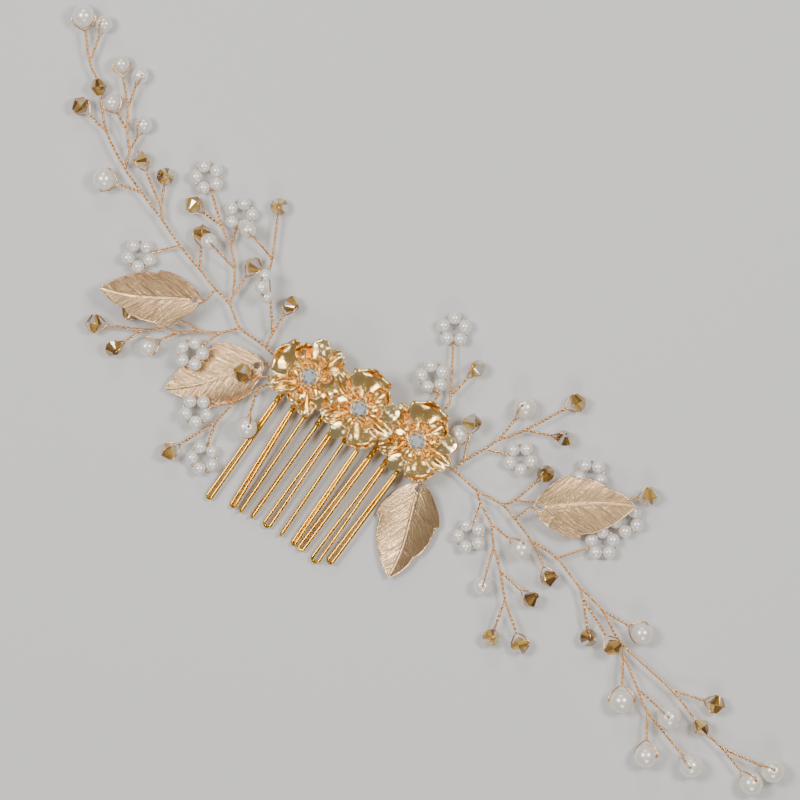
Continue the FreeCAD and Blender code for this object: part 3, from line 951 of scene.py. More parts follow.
@dataclass
class Stems:
    """The stems of some wire solids, joined into runs from their root outwards."""

    rods: list[tuple[Vector, Vector, float]]
    root: Vector
    reach: float = 6.0 * MM      # how far past its fork a branch may start
    aim: float = 0.14 * MM       # how far its line may miss the fork
    thin: float = 0.3 * MM       # a rod under this radius is bare wire through a bead
    twisted: list[list[Vector]] = field(default_factory=list)
    bare: list[list[Vector]] = field(default_factory=list)

    def __post_init__(self) -> None:
        """Walk the rods from the root."""
        left = list(self.rods)
        self._parents = {}
        forks = [(self.root, -1)] + [(end, i) for i, rod in enumerate(left) for end in rod[:2]]
        for i, rod in enumerate(left):
            for side in (0, 1):
                near, way = rod[side], (rod[1 - side] - rod[side]).normalized()
                best = None
                for fork, owner in forks:
                    back = (near - fork).dot(way)
                    miss = (near - fork - way * back).length
                    if owner != i and -0.3 * MM < back < self.reach and miss < self.aim:
                        if best is None or abs(back) < best[0]:
                            best = (abs(back), fork)
                self._parents[i, side] = best
        self._free = set(range(len(left)))
        self._grow(self.root, [self.root], None)
        while self._free:
            placed = self.twisted + self.bare
            ends = ((i, side) for i in sorted(self._free) for side in (0, 1))
            gap, fork, i, side = min(((*nearest_point(self.rods[i][side], placed), i, side)
                                      for i, side in ends), key=lambda found: found[0])
            self._free.discard(i)
            near = self.rods[i][side].copy()
            joins = gap < 1.5 * MM and self.rods[i][2] >= self.thin
            self._follow(i, side, [fork, near] if joins else [near])

    def _grow(self, fork: Vector, run: list[Vector], arriving: Optional[Vector]) -> None:
        """Continue a run past a fork, and start a run for each branch.

        Args:
            fork: where the run has got to.
            run: its points so far.
            arriving: the direction that it arrives in.
        """
        found = []
        for i in sorted(self._free):
            for side in (0, 1):
                parent = self._parents[i, side]
                if parent and (parent[1] - fork).length < 0.15 * MM:
                    way = (self.rods[i][1 - side] - self.rods[i][side]).normalized()
                    turn = arriving.angle(way) if arriving else 0.0
                    found.append((turn + parent[0] / MM, i, side))
                    break
        found.sort()
        for _, i, _ in found:
            self._free.discard(i)
        if not found:
            self.twisted.append(run)
        for order, (_, i, side) in enumerate(found):
            self._follow(i, side, run if order == 0 else [fork.copy()])

    def _follow(self, i: int, side: int, run: list[Vector]) -> None:
        """Lay one rod on a run and go on from its far end.

        Args:
            i: the rod's number.
            side: which of its ends comes first.
            run: the run's points so far.
        """
        near, far, radius = self.rods[i][side], self.rods[i][1 - side], self.rods[i][2]
        if radius < self.thin:
            if len(run) > 1:
                self.twisted.append(run)
            self.bare.append([near.copy(), far.copy()])
            run = [far.copy()]
        else:
            run.append(far.copy())
        self._grow(far, run, (far - near).normalized())

    def take_tip(self, target: Vector, limit: float) -> Optional[list[Vector]]:
        """The run with an end nearest to a point, turned so that it ends there.

        Args:
            target: the point.
            limit: how far the end may be from it.

        Returns:
            The run, or nothing if none ends near enough.
        """
        gap, order = min((((run[end] - target).length, (i, end)) for i, run in enumerate(self.twisted)
                          for end in (-1, 0)), key=lambda found: found[0])
        if gap > limit:
            return None
        run = self.twisted[order[0]]
        if order[1] == 0:
            run.reverse()
        return run


@dataclass
class WireShop:
    """Makes every piece of wire, bead and hook."""

    wire: float = 0.38 * MM
    turn: float = 2.2 * MM       # along the stem, for one full turn of a strand
    step: float = 0.20 * MM
    fine_step: float = 0.16 * MM # between the points of a single wire
    tip_gap: float = 0.95 * MM   # between a stem's end and its bead
    twist_tree: Growth = field(default_factory=twisted_pair_tree)
    wire_tree: Growth = field(default_factory=plain_wire_tree)
    bead_tree: Growth = field(default_factory=strung_tree)

    def stems(self, runs: Sequence[Sequence[Vector]]) -> bpy.types.Mesh:
        """Twist two strands along each run.

        Args:
            runs: the points of each stem.

        Returns:
            The stems' mesh.
        """
        return self.twist_tree.run(path_mesh([(run, False) for run in runs if len(run) > 1]),
                                   Finish.WIRE.material(), Strand=self.wire / 2, Turn=self.turn,
                                   Step=self.step, Offset=self.wire / 2 * 0.96)

    def bare(self, paths: Sequence[tuple[Sequence[Vector], bool]], finish: Finish) -> bpy.types.Mesh:
        """One wire along each path."""
        return self.wire_tree.run(path_mesh(paths), finish.material(),
                                  Strand=self.wire / 2, Step=self.fine_step)

    def pearl(self, hole_share: float, name: str) -> bpy.types.Object:
        """A pearl of radius 1 with a drilled hole whose mouths are eased.

        Args:
            hole_share: the hole's radius as a share of the pearl's.
            name: the mesh's name.

        Returns:
            An object for the bead tree to copy.
        """
        mouth = math.asin(hole_share * 1.25)
        steps = 18
        arc = [(math.sin(a), math.cos(a)) for a in
               (mouth + (math.pi - 2 * mouth) * i / steps for i in range(steps + 1))]
        depth = math.cos(mouth) - hole_share * 0.5
        profile = arc + [(hole_share, -depth), (hole_share, 0.0), (hole_share, depth)]
        return hidden_object(turned_mesh(profile, 32, name))

    def crystal(self, half: float, girdle: float, mouth: float, hole: float) -> bpy.types.Object:
        """A drilled double cone cut with twelve facets to a side, the two sides out of step.

        Args:
            half: half its length along the hole.
            girdle: its greatest radius.
            mouth: the radius of its flat ends.
            hole: the hole's radius.

        Returns:
            An object for the bead tree to copy.
        """
        rows = []
        for radius, height, odd in ((hole, half, 0.0), (mouth, half, 0.87), (girdle, 0.06 * half, 0.955),
                                    (girdle, -0.06 * half, 0.955), (mouth, -half, 0.87), (hole, -half, 0.0)):
            low = height < 0
            for i in range(12):
                dull = odd if odd and (i % 2 == int(not low)) else 1.0
                angle = math.radians(30.0 * i)
                rows.append((radius * dull * math.cos(angle), radius * dull * math.sin(angle), height))
        mesh = mesh_of(rows, ring_faces(6, 12), "crystal", smooth=False)
        return hidden_object(faceted(mesh))

    def strung(self, beads: Sequence[Bead], pattern: bpy.types.Object, finish: Finish,
               unit: bool) -> bpy.types.Mesh:
        """Copies of a bead. A pattern of radius 1 takes each bead's size."""
        sizes = [max(b.radius, b.half) if unit else 1.0 for b in beads]
        return self.bead_tree.run(bead_points(beads, sizes), finish.material(), Bead=pattern)

    def bead_loop(self, bead: Bead, run: list[Vector], round_bead: bool) -> tuple[list[Vector], bool]:
        """The single wire from a stem's tip through a bead's hole and back.

        Args:
            bead: the bead.
            run: the stem, whose end is moved to the loop.
            round_bead: whether it is a pearl, not a crystal.

        Returns:
            The loop's points, and that it is closed.
        """
        out = run[-1] - bead.middle
        out = (out - bead.hole * out.dot(bead.hole)).normalized()
        wide = bead.radius
        tip = bead.middle + out * (wide + self.tip_gap)
        run[-1] = tip
        if round_bead:
            clear = wide + 0.32 * MM
            half = [(0.4 * wide, 0.0), (0.96 * wide, 0.0), (wide + 0.24 * MM, 0.12 * MM),
                    (0.93 * clear, 0.37 * clear), (0.62 * clear, 0.80 * clear)]
        else:
            half = [(0.4 * bead.half, 0.0), (0.9 * bead.half, 0.0), (bead.half + 0.16 * MM, 0.30 * MM),
                    (0.80 * bead.half, 0.72 * wide + 0.1 * MM)]
        left = [bead.middle + bead.hole * a + out * b for a, b in half]
        right = [bead.middle - bead.hole * a + out * b for a, b in reversed(half)]
        return [tip.copy(), *right, *left], True

    def pearl_ring(self, pearls: list[Bead], stems: Stems) -> tuple[list[Vector], bool]:
        """The wire through a ring of small pearls, with its corners between the pearls.

        Args:
            pearls: the pearls of one ring.
            stems: the stems, whose ends are moved to the ring.

        Returns:
            The wire's points, and that it is closed.
        """
        closed = len(pearls) > 3
        sign = 1 if closed else -1
        order = [min(pearls, key=lambda p: sum((p.middle - q.middle).length for q in pearls) * sign)]
        rest = [p for p in pearls if p is not order[0]]
        while rest:
            rest.sort(key=lambda p: (p.middle - order[-1].middle).length)
            order.append(rest.pop(0))
        corners = []
        for here, there in zip(order, order[1:] + (order[:1] if closed else [])):
            between = there.middle - here.middle
            way = here.hole if here.hole.dot(between) > 0 else -here.hole
            reach = between.length / 2 / math.cos(math.pi / 5)
            if not closed and here is order[0]:
                corners.append(here.middle - way * reach)
            corners.append(here.middle + way * reach)
        if not closed:
            last, between = order[-1], order[-1].middle - order[-2].middle
            way = last.hole if last.hole.dot(between) > 0 else -last.hole
            corners.append(last.middle + way * (corners[-1] - last.middle).length)
        for run in stems.twisted:
            for end in (-1, 0):
                near = min(corners, key=lambda c: (c - run[end]).length)
                if (near - run[end]).length < 1.0 * MM:
                    run[end] = near.copy()
        path: list[Vector] = []
        for a, b in zip(corners, corners[1:] + corners[:1]):
            path.extend([a + (b - a) * 0.06, a + (b - a) * 0.5, a + (b - a) * 0.94])
        return path, True


def clusters(beads: Sequence[Bead], reach: float) -> list[list[Bead]]:
    """Group beads that touch.

    Args:
        beads: the beads.
        reach: how far apart the middles of touching beads may be.

    Returns:
        The groups.
    """
    groups: list[list[Bead]] = []
    for bead in beads:
        near = [g for g in groups if any((b.middle - bead.middle).length < reach for b in g)]
        merged = [bead] + [b for g in near for b in g]
        groups = [g for g in groups if g not in near] + [merged]
    return groups


def modified(mesh: bpy.types.Mesh, *steps: tuple[str, dict]) -> bpy.types.Mesh:
    """Put a mesh through modifiers and return the plain result.

    Args:
        mesh: the mesh to start from.
        steps: each modifier's type and settings.

    Returns:
        The finished mesh.
    """
    carrier = bpy.data.objects.new("carrier", mesh)
    bpy.context.scene.collection.objects.link(carrier)
    for kind, settings in steps:
        modifier = carrier.modifiers.new(kind.lower(), kind)
        for name, value in settings.items():
            setattr(modifier, name, value)
    depsgraph = bpy.context.evaluated_depsgraph_get()
    made = bpy.data.meshes.new_from_object(carrier.evaluated_get(depsgraph))
    bpy.data.objects.remove(carrier)
    for polygon in made.polygons:
        polygon.use_smooth = True
    return made


def ease(x: float, low: float, high: float) -> float:
    """0 below low, 1 above high, smooth between."""
    t = min(1.0, max(0.0, (x - low) / (high - low)))
    return t * t * (3 - 2 * t)


# ---- flowers --------------------------------------------------------------------------------------
@dataclass(frozen=True)
class Petal:
    """One petal of the casting. Lengths in millimetres."""

    angle: float         # degrees from the casting's largest petal
    reach: float         # from the flower's centre to the tip
    width: float
    cup: float = 1.0     # how far its sides rise
    lift: float = 1.6    # how far its tip rises
    curl: float = 0.0    # how far its tip bends back over itself
    dome: float = 0.0    # how far its middle swells
    ribs: int = 0
    rib: float = 0.0     # height of its pleats
    notch: float = 0.0   # depth of the notch in its tip
    roll: float = 0.35   # how far its rim turns down
    lean: float = 0.0    # degrees that it is turned about its own length

    def surface(self, u: float, v: float, base: float) -> tuple[Vector, float]:
        """A point of the petal and how deep it lies in a hollow, for the painted shade there.

        Args:
            u: 0 at the hub, 1 at the tip.
            v: -1 at the right side, 1 at the left.
            base: distance from the flower's centre where the petal starts.

        Returns:
            The point in millimetres, with the petal along X, and its depth from 0 to 1, which paints shade
            into the hollow.
        """
        if u < 0.6:
            share = 0.40 + 0.60 * math.sin(math.pi / 2 * u / 0.6)
        else:
            share = math.sqrt(max(0.0, 1 - ((u - 0.6) / 0.43) ** 2)) ** 0.75
        tip = ease(u, 0.6, 1.0)
        x = base + (self.reach - base) * u - 0.20 * self.width * v * v * tip
        x -= self.notch * math.exp(-(v / 0.24) ** 2) * u ** 6
        y = v * self.width / 2 * share
        z = self.lift * u ** 1.4 - 0.5 * math.sin(math.pi * u)
        z += self.cup * v * v * (0.25 + 0.75 * u)
        z += self.dome * (1 - v * v) * math.sin(math.pi * min(1.0, 0.15 + u))
        z += self.curl * tip * tip
        x -= 0.55 * self.curl * tip * tip
        z -= self.roll * ease(max(abs(v), u * 0.98), 0.80, 1.0)
        if self.ribs:
            pleat = self.rib * math.cos(math.pi * self.ribs * v)
            z += pleat * math.sin(math.pi * min(1.0, 0.2 + 0.75 * u))
        wave = math.sin(x * 1.9 + self.angle) * math.cos(y * 2.3 + self.angle * 1.7)
        z += 0.10 * wave * u
        turn = math.radians(self.lean) * u
        y, z = y * math.cos(turn) - z * math.sin(turn), y * math.sin(turn) + z * math.cos(turn)
        # The depth paints a warmer, darker shade, strongest along the middle near the hub and fading to the
        # sides and tip; less on a domed petal.
        depth = (1 - abs(v) ** 3) * (1 - u ** 5) * (0.55 + 0.45 * (1 - u))
        if self.dome > 0.4:
            depth *= 1 - 0.75 * ease(u, 0.3, 0.7)
        return Vector((x, y, z)), depth


@dataclass
class Casting:
    """A whorl of petals cast in one piece."""

    petals: Sequence[Petal]
    base: float
    ceiling: float = 2.5         # no petal rises above this
    thick: float = 0.42
    rows: int = 20
    columns: int = 16

    def mesh(self, centre: Vector, turn: float) -> bpy.types.Mesh:
        """The petals in place.

        Args:
            centre: where the petals' bases meet, in metres.
            turn: degrees that the casting is turned about Z.

        Returns:
            The whorl with its thickness and its depth attribute, which paints shade into the petals' hollow
            parts.
        """
        points, faces, hollow_shades = [], [], []
        bend = self.ceiling * 0.4
        wide = self.columns + 1
        for petal in self.petals:
            first = len(points)
            spin = Matrix.Rotation(math.radians(petal.angle + turn), 3, "Z")
            for r in range(self.rows + 1):
                for c in range(self.columns + 1):
                    point, depth = petal.surface(r / self.rows, 2 * c / self.columns - 1, self.base)
                    over = point.z - (self.ceiling - bend)
                    if over > 0.0:
                        point.z = self.ceiling - bend * math.exp(-over / bend)
                    points.append(centre + (spin @ point) * MM)
                    hollow_shades.append(depth)
            faces.extend((first + r * wide + c, first + (r + 1) * wide + c,
                          first + (r + 1) * wide + c + 1, first + r * wide + c + 1)
                         for r in range(self.rows) for c in range(self.columns))
        mesh = bpy.data.meshes.new("whorl")
        mesh.from_pydata([tuple(p) for p in points], [], faces)
        # The depth attribute paints a warmer, darker shade into the petals' hollow parts.
        carry(mesh, "depth", hollow_shades)
        return modified(mesh, ("SOLIDIFY", {"thickness": self.thick * MM, "offset": -1.0}),
                        ("SUBSURF", {"levels": 1, "render_levels": 1}))


OUTER = Casting((
    Petal(0.0, 12.2, 10.6, cup=2.9, lift=0.9, curl=2.0, roll=0.1),
    Petal(51.0, 10.9, 6.6, cup=0.5, lift=1.3, ribs=3, rib=0.55, notch=0.8),
    Petal(96.0, 8.4, 4.8, cup=1.2, lift=1.7, ribs=1, rib=0.4),
    Petal(124.0, 10.3, 5.4, cup=0.6, lift=0.8, ribs=2, rib=0.50, lean=12.0, notch=0.5),
    Petal(158.0, 10.4, 5.8, cup=0.3, lift=0.6, dome=1.5, roll=0.9),
    Petal(208.0, 11.5, 8.0, cup=2.3, lift=0.7, curl=1.2, ribs=1, rib=0.5, notch=0.7),
    Petal(252.0, 10.8, 6.0, cup=0.8, lift=1.1, ribs=2, rib=0.45, notch=1.2, lean=-12.0),
    Petal(287.0, 10.6, 6.2, cup=0.6, lift=1.2, dome=1.3, roll=0.8),
    Petal(322.0, 9.4, 5.2, cup=1.7, lift=2.0, curl=0.9),
), base=2.5, ceiling=2.6, thick=0.5)
CROWN = Casting((
    Petal(18.0, 6.1, 3.4, cup=0.6, lift=1.7, notch=0.5, roll=0.2, ribs=1, rib=0.2),
    Petal(84.0, 5.6, 3.0, cup=0.7, lift=1.9, roll=0.2),
    Petal(140.0, 6.3, 3.6, cup=0.5, lift=1.4, notch=0.6, roll=0.2, ribs=1, rib=0.25),
    Petal(206.0, 5.8, 3.2, cup=0.7, lift=1.8, roll=0.2),
    Petal(262.0, 6.2, 3.4, cup=0.5, lift=1.5, notch=0.5, roll=0.2),
    Petal(318.0, 5.7, 3.1, cup=0.6, lift=1.8, roll=0.2, ribs=1, rib=0.2),
), base=2.0, ceiling=2.0, thick=0.34, rows=12, columns=10)
TURNS = (170.5, 97.5, 97.5)      # degrees that each flower is turned
CROWN_TURN = 11.0                # degrees further for each crown than for the one before it
OUTER_HEIGHT = 0.55 * MM         # of the outer petals' bases above the flower's underside
CROWN_HEIGHT = 0.35 * MM         # of the crown's bases above its underside
GIRDLE_HEIGHT = 1.45 * MM        # of a stone's girdle above its cup's floor


@dataclass
class Flowers:
    """Three cast flowers, each with a crown, a granulated cup and a clear stone."""

    shop: WireShop
    centres: list[Vector] = field(default_factory=list)

    def __post_init__(self) -> None:
        """Find the stones."""
        self.centres = sorted((Vector(s.points.mean(0)) for s in Solid.of("rhinestones")),
                              key=lambda c: c.x)

    def stone(self) -> list[bpy.types.Mesh]:
        """The stone's faceted crown and its foiled back, the girdle at Z = 0.

        Returns:
            The crown and the back, dressed.
        """
        rows = [(1.12, 0.72, 8, 0.0), (1.62, 0.46, 8, 22.5), (1.98, 0.06, 16, 0.0), (1.98, -0.04, 16, 0.0),
                (0.5, -0.98, 16, 0.0)]
        points = [Vector((r * math.cos(a), r * math.sin(a), z)) * MM for r, z, n, off in rows
                  for a in (math.radians(off + 360.0 / n * i) for i in range(n))]
        work = bmesh.new()
        for point in points:
            work.verts.new(point)
        bmesh.ops.convex_hull(work, input=work.verts)
        bmesh.ops.dissolve_limit(work, angle_limit=math.radians(2.0), verts=work.verts, edges=work.edges)
        mesh = written(work, "stone")
        outline = [(2.0, -0.06), (0.55, -1.02), (0.02, -1.06), (0.02, -1.12), (0.62, -1.09), (2.0, -0.16)]
        foil = turned_mesh([(r * MM, z * MM) for r, z in outline], 16, "foil")
        for face in foil.polygons:
            face.use_smooth = False
        return [dressed(faceted(mesh), Finish.CLEAR), dressed(foil, Finish.FOIL)]

    def cup(self) -> bpy.types.Mesh:
        """The cup that holds the stone, its floor at Z = 0.

        Returns:
            The cup's mesh.
        """
        outline = [(0.0001, 0.0), (2.5, 0.0), (2.72, 0.25), (2.55, 0.6), (2.45, 1.3), (2.36, 1.68),
                   (2.2, 1.74), (2.04, 1.62), (2.04, 1.3), (0.7, 0.3), (0.0001, 0.28)]
        return turned_mesh([(r * MM, z * MM) for r, z in outline], 40, "cup")

    def granules(self, floor: Vector) -> bpy.types.Mesh:
        """Grains round the rim of a cup and at its foot.

        Args:
            floor: the middle of the cup's floor.

        Returns:
            The grains' mesh.
        """
        beads, sizes = [], []
        for count, radius, height, size in ((18, 2.42, 1.62, 0.27), (15, 2.95, 0.75, 0.36),
                                            (17, 3.5, 0.35, 0.33)):
            for i in range(count):
                angle = 2 * math.pi * (i + 0.5 * (count % 2)) / count
                wobble = 1 + 0.03 * math.sin(i * 2.7 + count)
                beads.append(Bead(floor + Vector((radius * wobble * math.cos(angle),
                                                  radius * wobble * math.sin(angle), height)) * MM,
                                  Vector((0, 0, 1)), 1.0, 1.0))
                sizes.append(size * MM * (1 + 0.14 * math.sin(i * 1.9)))
        work = bmesh.new()
        bmesh.ops.create_icosphere(work, subdivisions=2, radius=1.0)
        for face in work.faces:
            face.smooth = True
        return self.shop.bead_tree.run(bead_points(beads, sizes), Finish.CUP.material(),
                                       Bead=hidden_object(written(work, "granule")))

    def placed(self, mesh: bpy.types.Mesh, place: Vector) -> bpy.types.Mesh:
        """A copy of a mesh moved to a place.

        Args:
            mesh: the mesh.
            place: how far it is moved.

        Returns:
            The copy.
        """
        copy = mesh.copy()
        copy.transform(Matrix.Translation(place))
        return copy

    def build(self) -> None:
        """Make and mount everything."""
        stones, cups = [], []
        stone, cup = self.stone(), dressed(self.cup(), Finish.CUP)
        hub = turned_mesh([(r * MM, z * MM) for r, z in (
            (0.02, 0.0), (3.4, 0.0), (3.7, 0.25), (3.3, 0.8), (0.02, 1.0))], 32, "hub")
        in_row = sorted(Solid.of("stone_cups"), key=lambda s: s.points[:, 0].mean())
        cup_floors = [min(s.points[:, 2]) for s in in_row]
        for number, (centre, turn, floor) in enumerate(zip(self.centres, TURNS, cup_floors), 1):
            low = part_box(f"flower_{number}_petals")[0].z
            outer = OUTER.mesh(Vector((centre.x, centre.y, low + OUTER_HEIGHT)), turn)
            piece = joined(f"flower_{number}_petals_cast", [
                dressed(outer, Finish.CAST),
                dressed(self.placed(hub, Vector((centre.x, centre.y, low))), Finish.CAST)])
            mount(piece, "comb", Finish.CAST, f"flower_{number}_petals")
            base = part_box(f"flower_{number}_crown")[0].z
            crown = CROWN.mesh(Vector((centre.x, centre.y, base + CROWN_HEIGHT)), turn + CROWN_TURN * number)
            piece = joined(f"flower_{number}_crown_cast", [dressed(crown, Finish.CAST)])
            mount(piece, "comb", Finish.CAST, f"flower_{number}_crown")
            place = Vector((centre.x, centre.y, floor))
            cups.extend([self.placed(cup, place), self.granules(place)])
            girdle = Vector((centre.x, centre.y, floor + GIRDLE_HEIGHT))
            stones.extend(self.placed(part, girdle) for part in stone)
        mount(joined("stone_cups_granulated", cups), "comb", Finish.CUP, "stone_cups")
        mount(joined("rhinestones_cut", stones), "comb", Finish.CLEAR, "rhinestones")


# ---- leaves ---------------------------------------------------------------------------------------
@dataclass
class LeafShape:
    """The stamped leaf, its hole at the origin and its tip on +X. Lengths in millimetres."""

    heel: float = 1.8
    length: float = 24.5
    hole: float = 0.9
    sheet: float = 0.42
    fold: float = 0.05           # slope of each side down from the midrib
    roll: float = 50.0           # how gently the sides curve down, as off squared over this
    pitch: float = 0.86          # between the fine veins
    left: tuple = ((-1.8, 0.4), (-0.6, 2.6), (0.8, 4.1), (2.45, 5.4), (4.4, 6.9), (6.4, 7.9), (8.0, 8.35),
                   (8.35, 8.3), (8.75, 7.5), (10.6, 7.5), (13.2, 7.1), (15.4, 6.3), (17.0, 5.3),
                   (17.45, 4.6), (19.2, 4.2), (21.0, 3.3), (22.6, 2.1), (23.7, 1.1), (24.5, 0.08))
    right: tuple = ((-1.8, 0.4), (-0.6, 2.6), (0.9, 4.2), (2.9, 5.6), (5.2, 7.1), (7.6, 8.1), (9.6, 8.3),
                    (10.0, 8.2), (10.5, 7.2), (13.4, 7.0), (16.0, 6.2), (18.6, 4.9), (21.0, 3.3),
                    (22.8, 1.9), (23.8, 1.0), (24.5, 0.08))

    def midrib(self, x: float) -> float:
        """Where the midrib runs, from side to side."""
        return 0.85 * math.sin(math.pi * (x + self.heel) / (self.length + self.heel)) - 0.3 * math.sin(
            2 * math.pi * (x + self.heel) / (self.length + self.heel))

    def height(self, x: float, y: float, half: float, share: float) -> tuple[float, float]:
        """The pressed surface and how near it is to a bright rim or midrib, where the painted groove shade
        is lifted.

        Args:
            x: along the leaf.
            y: across it.
            half: from the midrib to this side's edge.
            share: 0 at the midrib, 1 at the edge.

        Returns:
            The height in millimetres, and 0 to 1 for the brightness, which lifts the painted groove shade.
        """
        off = y - self.midrib(x)
        z = -self.fold * (math.sqrt(off * off + 0.3) - 0.5) - off * off / self.roll
        z += 0.10 * math.sin(x * 0.22 + 0.5)
        rib = math.exp(-(off / 0.30) ** 2)
        rim = ease((1 - share) * half, 0.0, 0.42)
        along = x - abs(off) * 1.25 + 0.25 * math.sin(off * 0.9)
        vein = math.cos(2 * math.pi * along / self.pitch) * (0.6 + 0.4 * math.sin(along * 3.7 + off))
        bold = (0.5 + 0.5 * math.cos(2 * math.pi * along / 3.9)) ** 12
        z += 0.26 * rib + 0.10 * (1 - rim) + (0.022 * vein - 0.05 * bold) * rim * (1 - rib)
        # The second value lifts the leaf's painted groove shade on its midrib and its rim.
        return z, max(rib, 1 - rim)

    def mesh(self, frame_of_leaf: Matrix) -> bpy.types.Mesh:
        """The leaf in place, with its rim attribute, which lifts the painted groove shade, and its flat map.

        Args:
            frame_of_leaf: the leaf's own frame.

        Returns:
            The leaf with its thickness.
        """
        rows, half_columns = 176, 50
        knots = sorted(set(np.linspace(-self.heel, self.length, rows)) | {8.35, 8.75, 17.0, 17.45})
        points, edge, flat, veins = [], [], [], []
        for x in knots:
            sides = [float(np.interp(x, *zip(*side))) for side in (self.right, self.left)]
            middle = self.midrib(x) if max(sides) > 1.2 else 0.0
            for c in range(2 * half_columns + 1):
                s = c / half_columns - 1
                limit = sides[1] - middle if s >= 0 else sides[0] + middle
                y = middle + s * max(limit, 0.02)
                reach = math.hypot(x, y)
                z, bright = self.height(x, y, max(limit, 0.02), abs(s))
                points.append(Vector((x, y, z)) * MM)
                # The edge attribute lifts the painted groove shade near the rim, the midrib and the hole.
                edge.append(max(bright, 1 - ease(reach - self.hole, 0.0, 0.4)))
                flat.append((x * MM, y * MM))
                off = y - self.midrib(x)
                veins.append(((x - 1.25 * abs(off)) * 0.62 * MM, off * 1.6 * MM))
        wide = 2 * half_columns + 1
        faces = []
        for r in range(len(knots) - 1):
            for c in range(wide - 1):
                corners = (r * wide + c, (r + 1) * wide + c, (r + 1) * wide + c + 1, r * wide + c + 1)
                if math.hypot(*(sum(flat[i][k] for i in corners) / 4 for k in (0, 1))) > self.hole * MM:
                    faces.append(corners)
        mesh = bpy.data.meshes.new("leaf")
        mesh.from_pydata([tuple(frame_of_leaf @ p) for p in points], [], faces)
        carry(mesh, "edge", edge)
        layer = mesh.uv_layers.new(name="leaf")
        corner = np.zeros(len(mesh.loops), int)
        mesh.loops.foreach_get("vertex_index", corner)
        layer.data.foreach_set("uv", np.array(veins)[corner].ravel())
        work = bmesh.new()
        work.from_mesh(mesh)
        loose = [v for v in work.verts if not v.link_faces]
        bmesh.ops.delete(work, geom=loose, context="VERTS")
        work.to_mesh(mesh)
        work.free()
        return modified(mesh, ("SOLIDIFY", {"thickness": self.sheet * MM, "offset": 0.0}))


@dataclass
class Leaves:
    """Four stamped leaves on wire hooks."""

    nodes: tuple = ("leaf_upper_left", "leaf_left", "leaf_lower", "leaf_right")
    shape: LeafShape = field(default_factory=LeafShape)

    def frames(self) -> dict[str, Matrix]:
        """Each leaf's own frame: its hole, and the ways to its tip, its left and its face.

        Returns:
            A matrix for each leaf, by node.
        """
        found = {}
        for joint in frame["joints"]:
            if joint["child"] in self.nodes:
                hole, face = Vector(joint["pos_m"]), Vector(joint["axis"]).normalized()
                solid = Solid.of(joint["child"])[0]
                far = Vector(max(solid.points, key=lambda p: (Vector(p) - hole).length))
                tip = (far - hole) - face * (far - hole).dot(face)
                tip.normalize()
                side = face.cross(tip)
                found[joint["child"]] = Matrix((
                    (tip.x, side.x, face.x, hole.x), (tip.y, side.y, face.y, hole.y),
                    (tip.z, side.z, face.z, hole.z), (0.0, 0.0, 0.0, 1.0)))
        return found

    def build(self) -> dict[str, Matrix]:
        """Make and mount the leaves, and return their frames for the hooks.

        Returns:
            A matrix for each leaf, by node.
        """
        frames = self.frames()
        for node, own in frames.items():
            piece = joined(f"{node}_stamped", [dressed(self.shape.mesh(own), Finish.LEAF)])
            mount(piece, node, Finish.LEAF, node)
        return frames


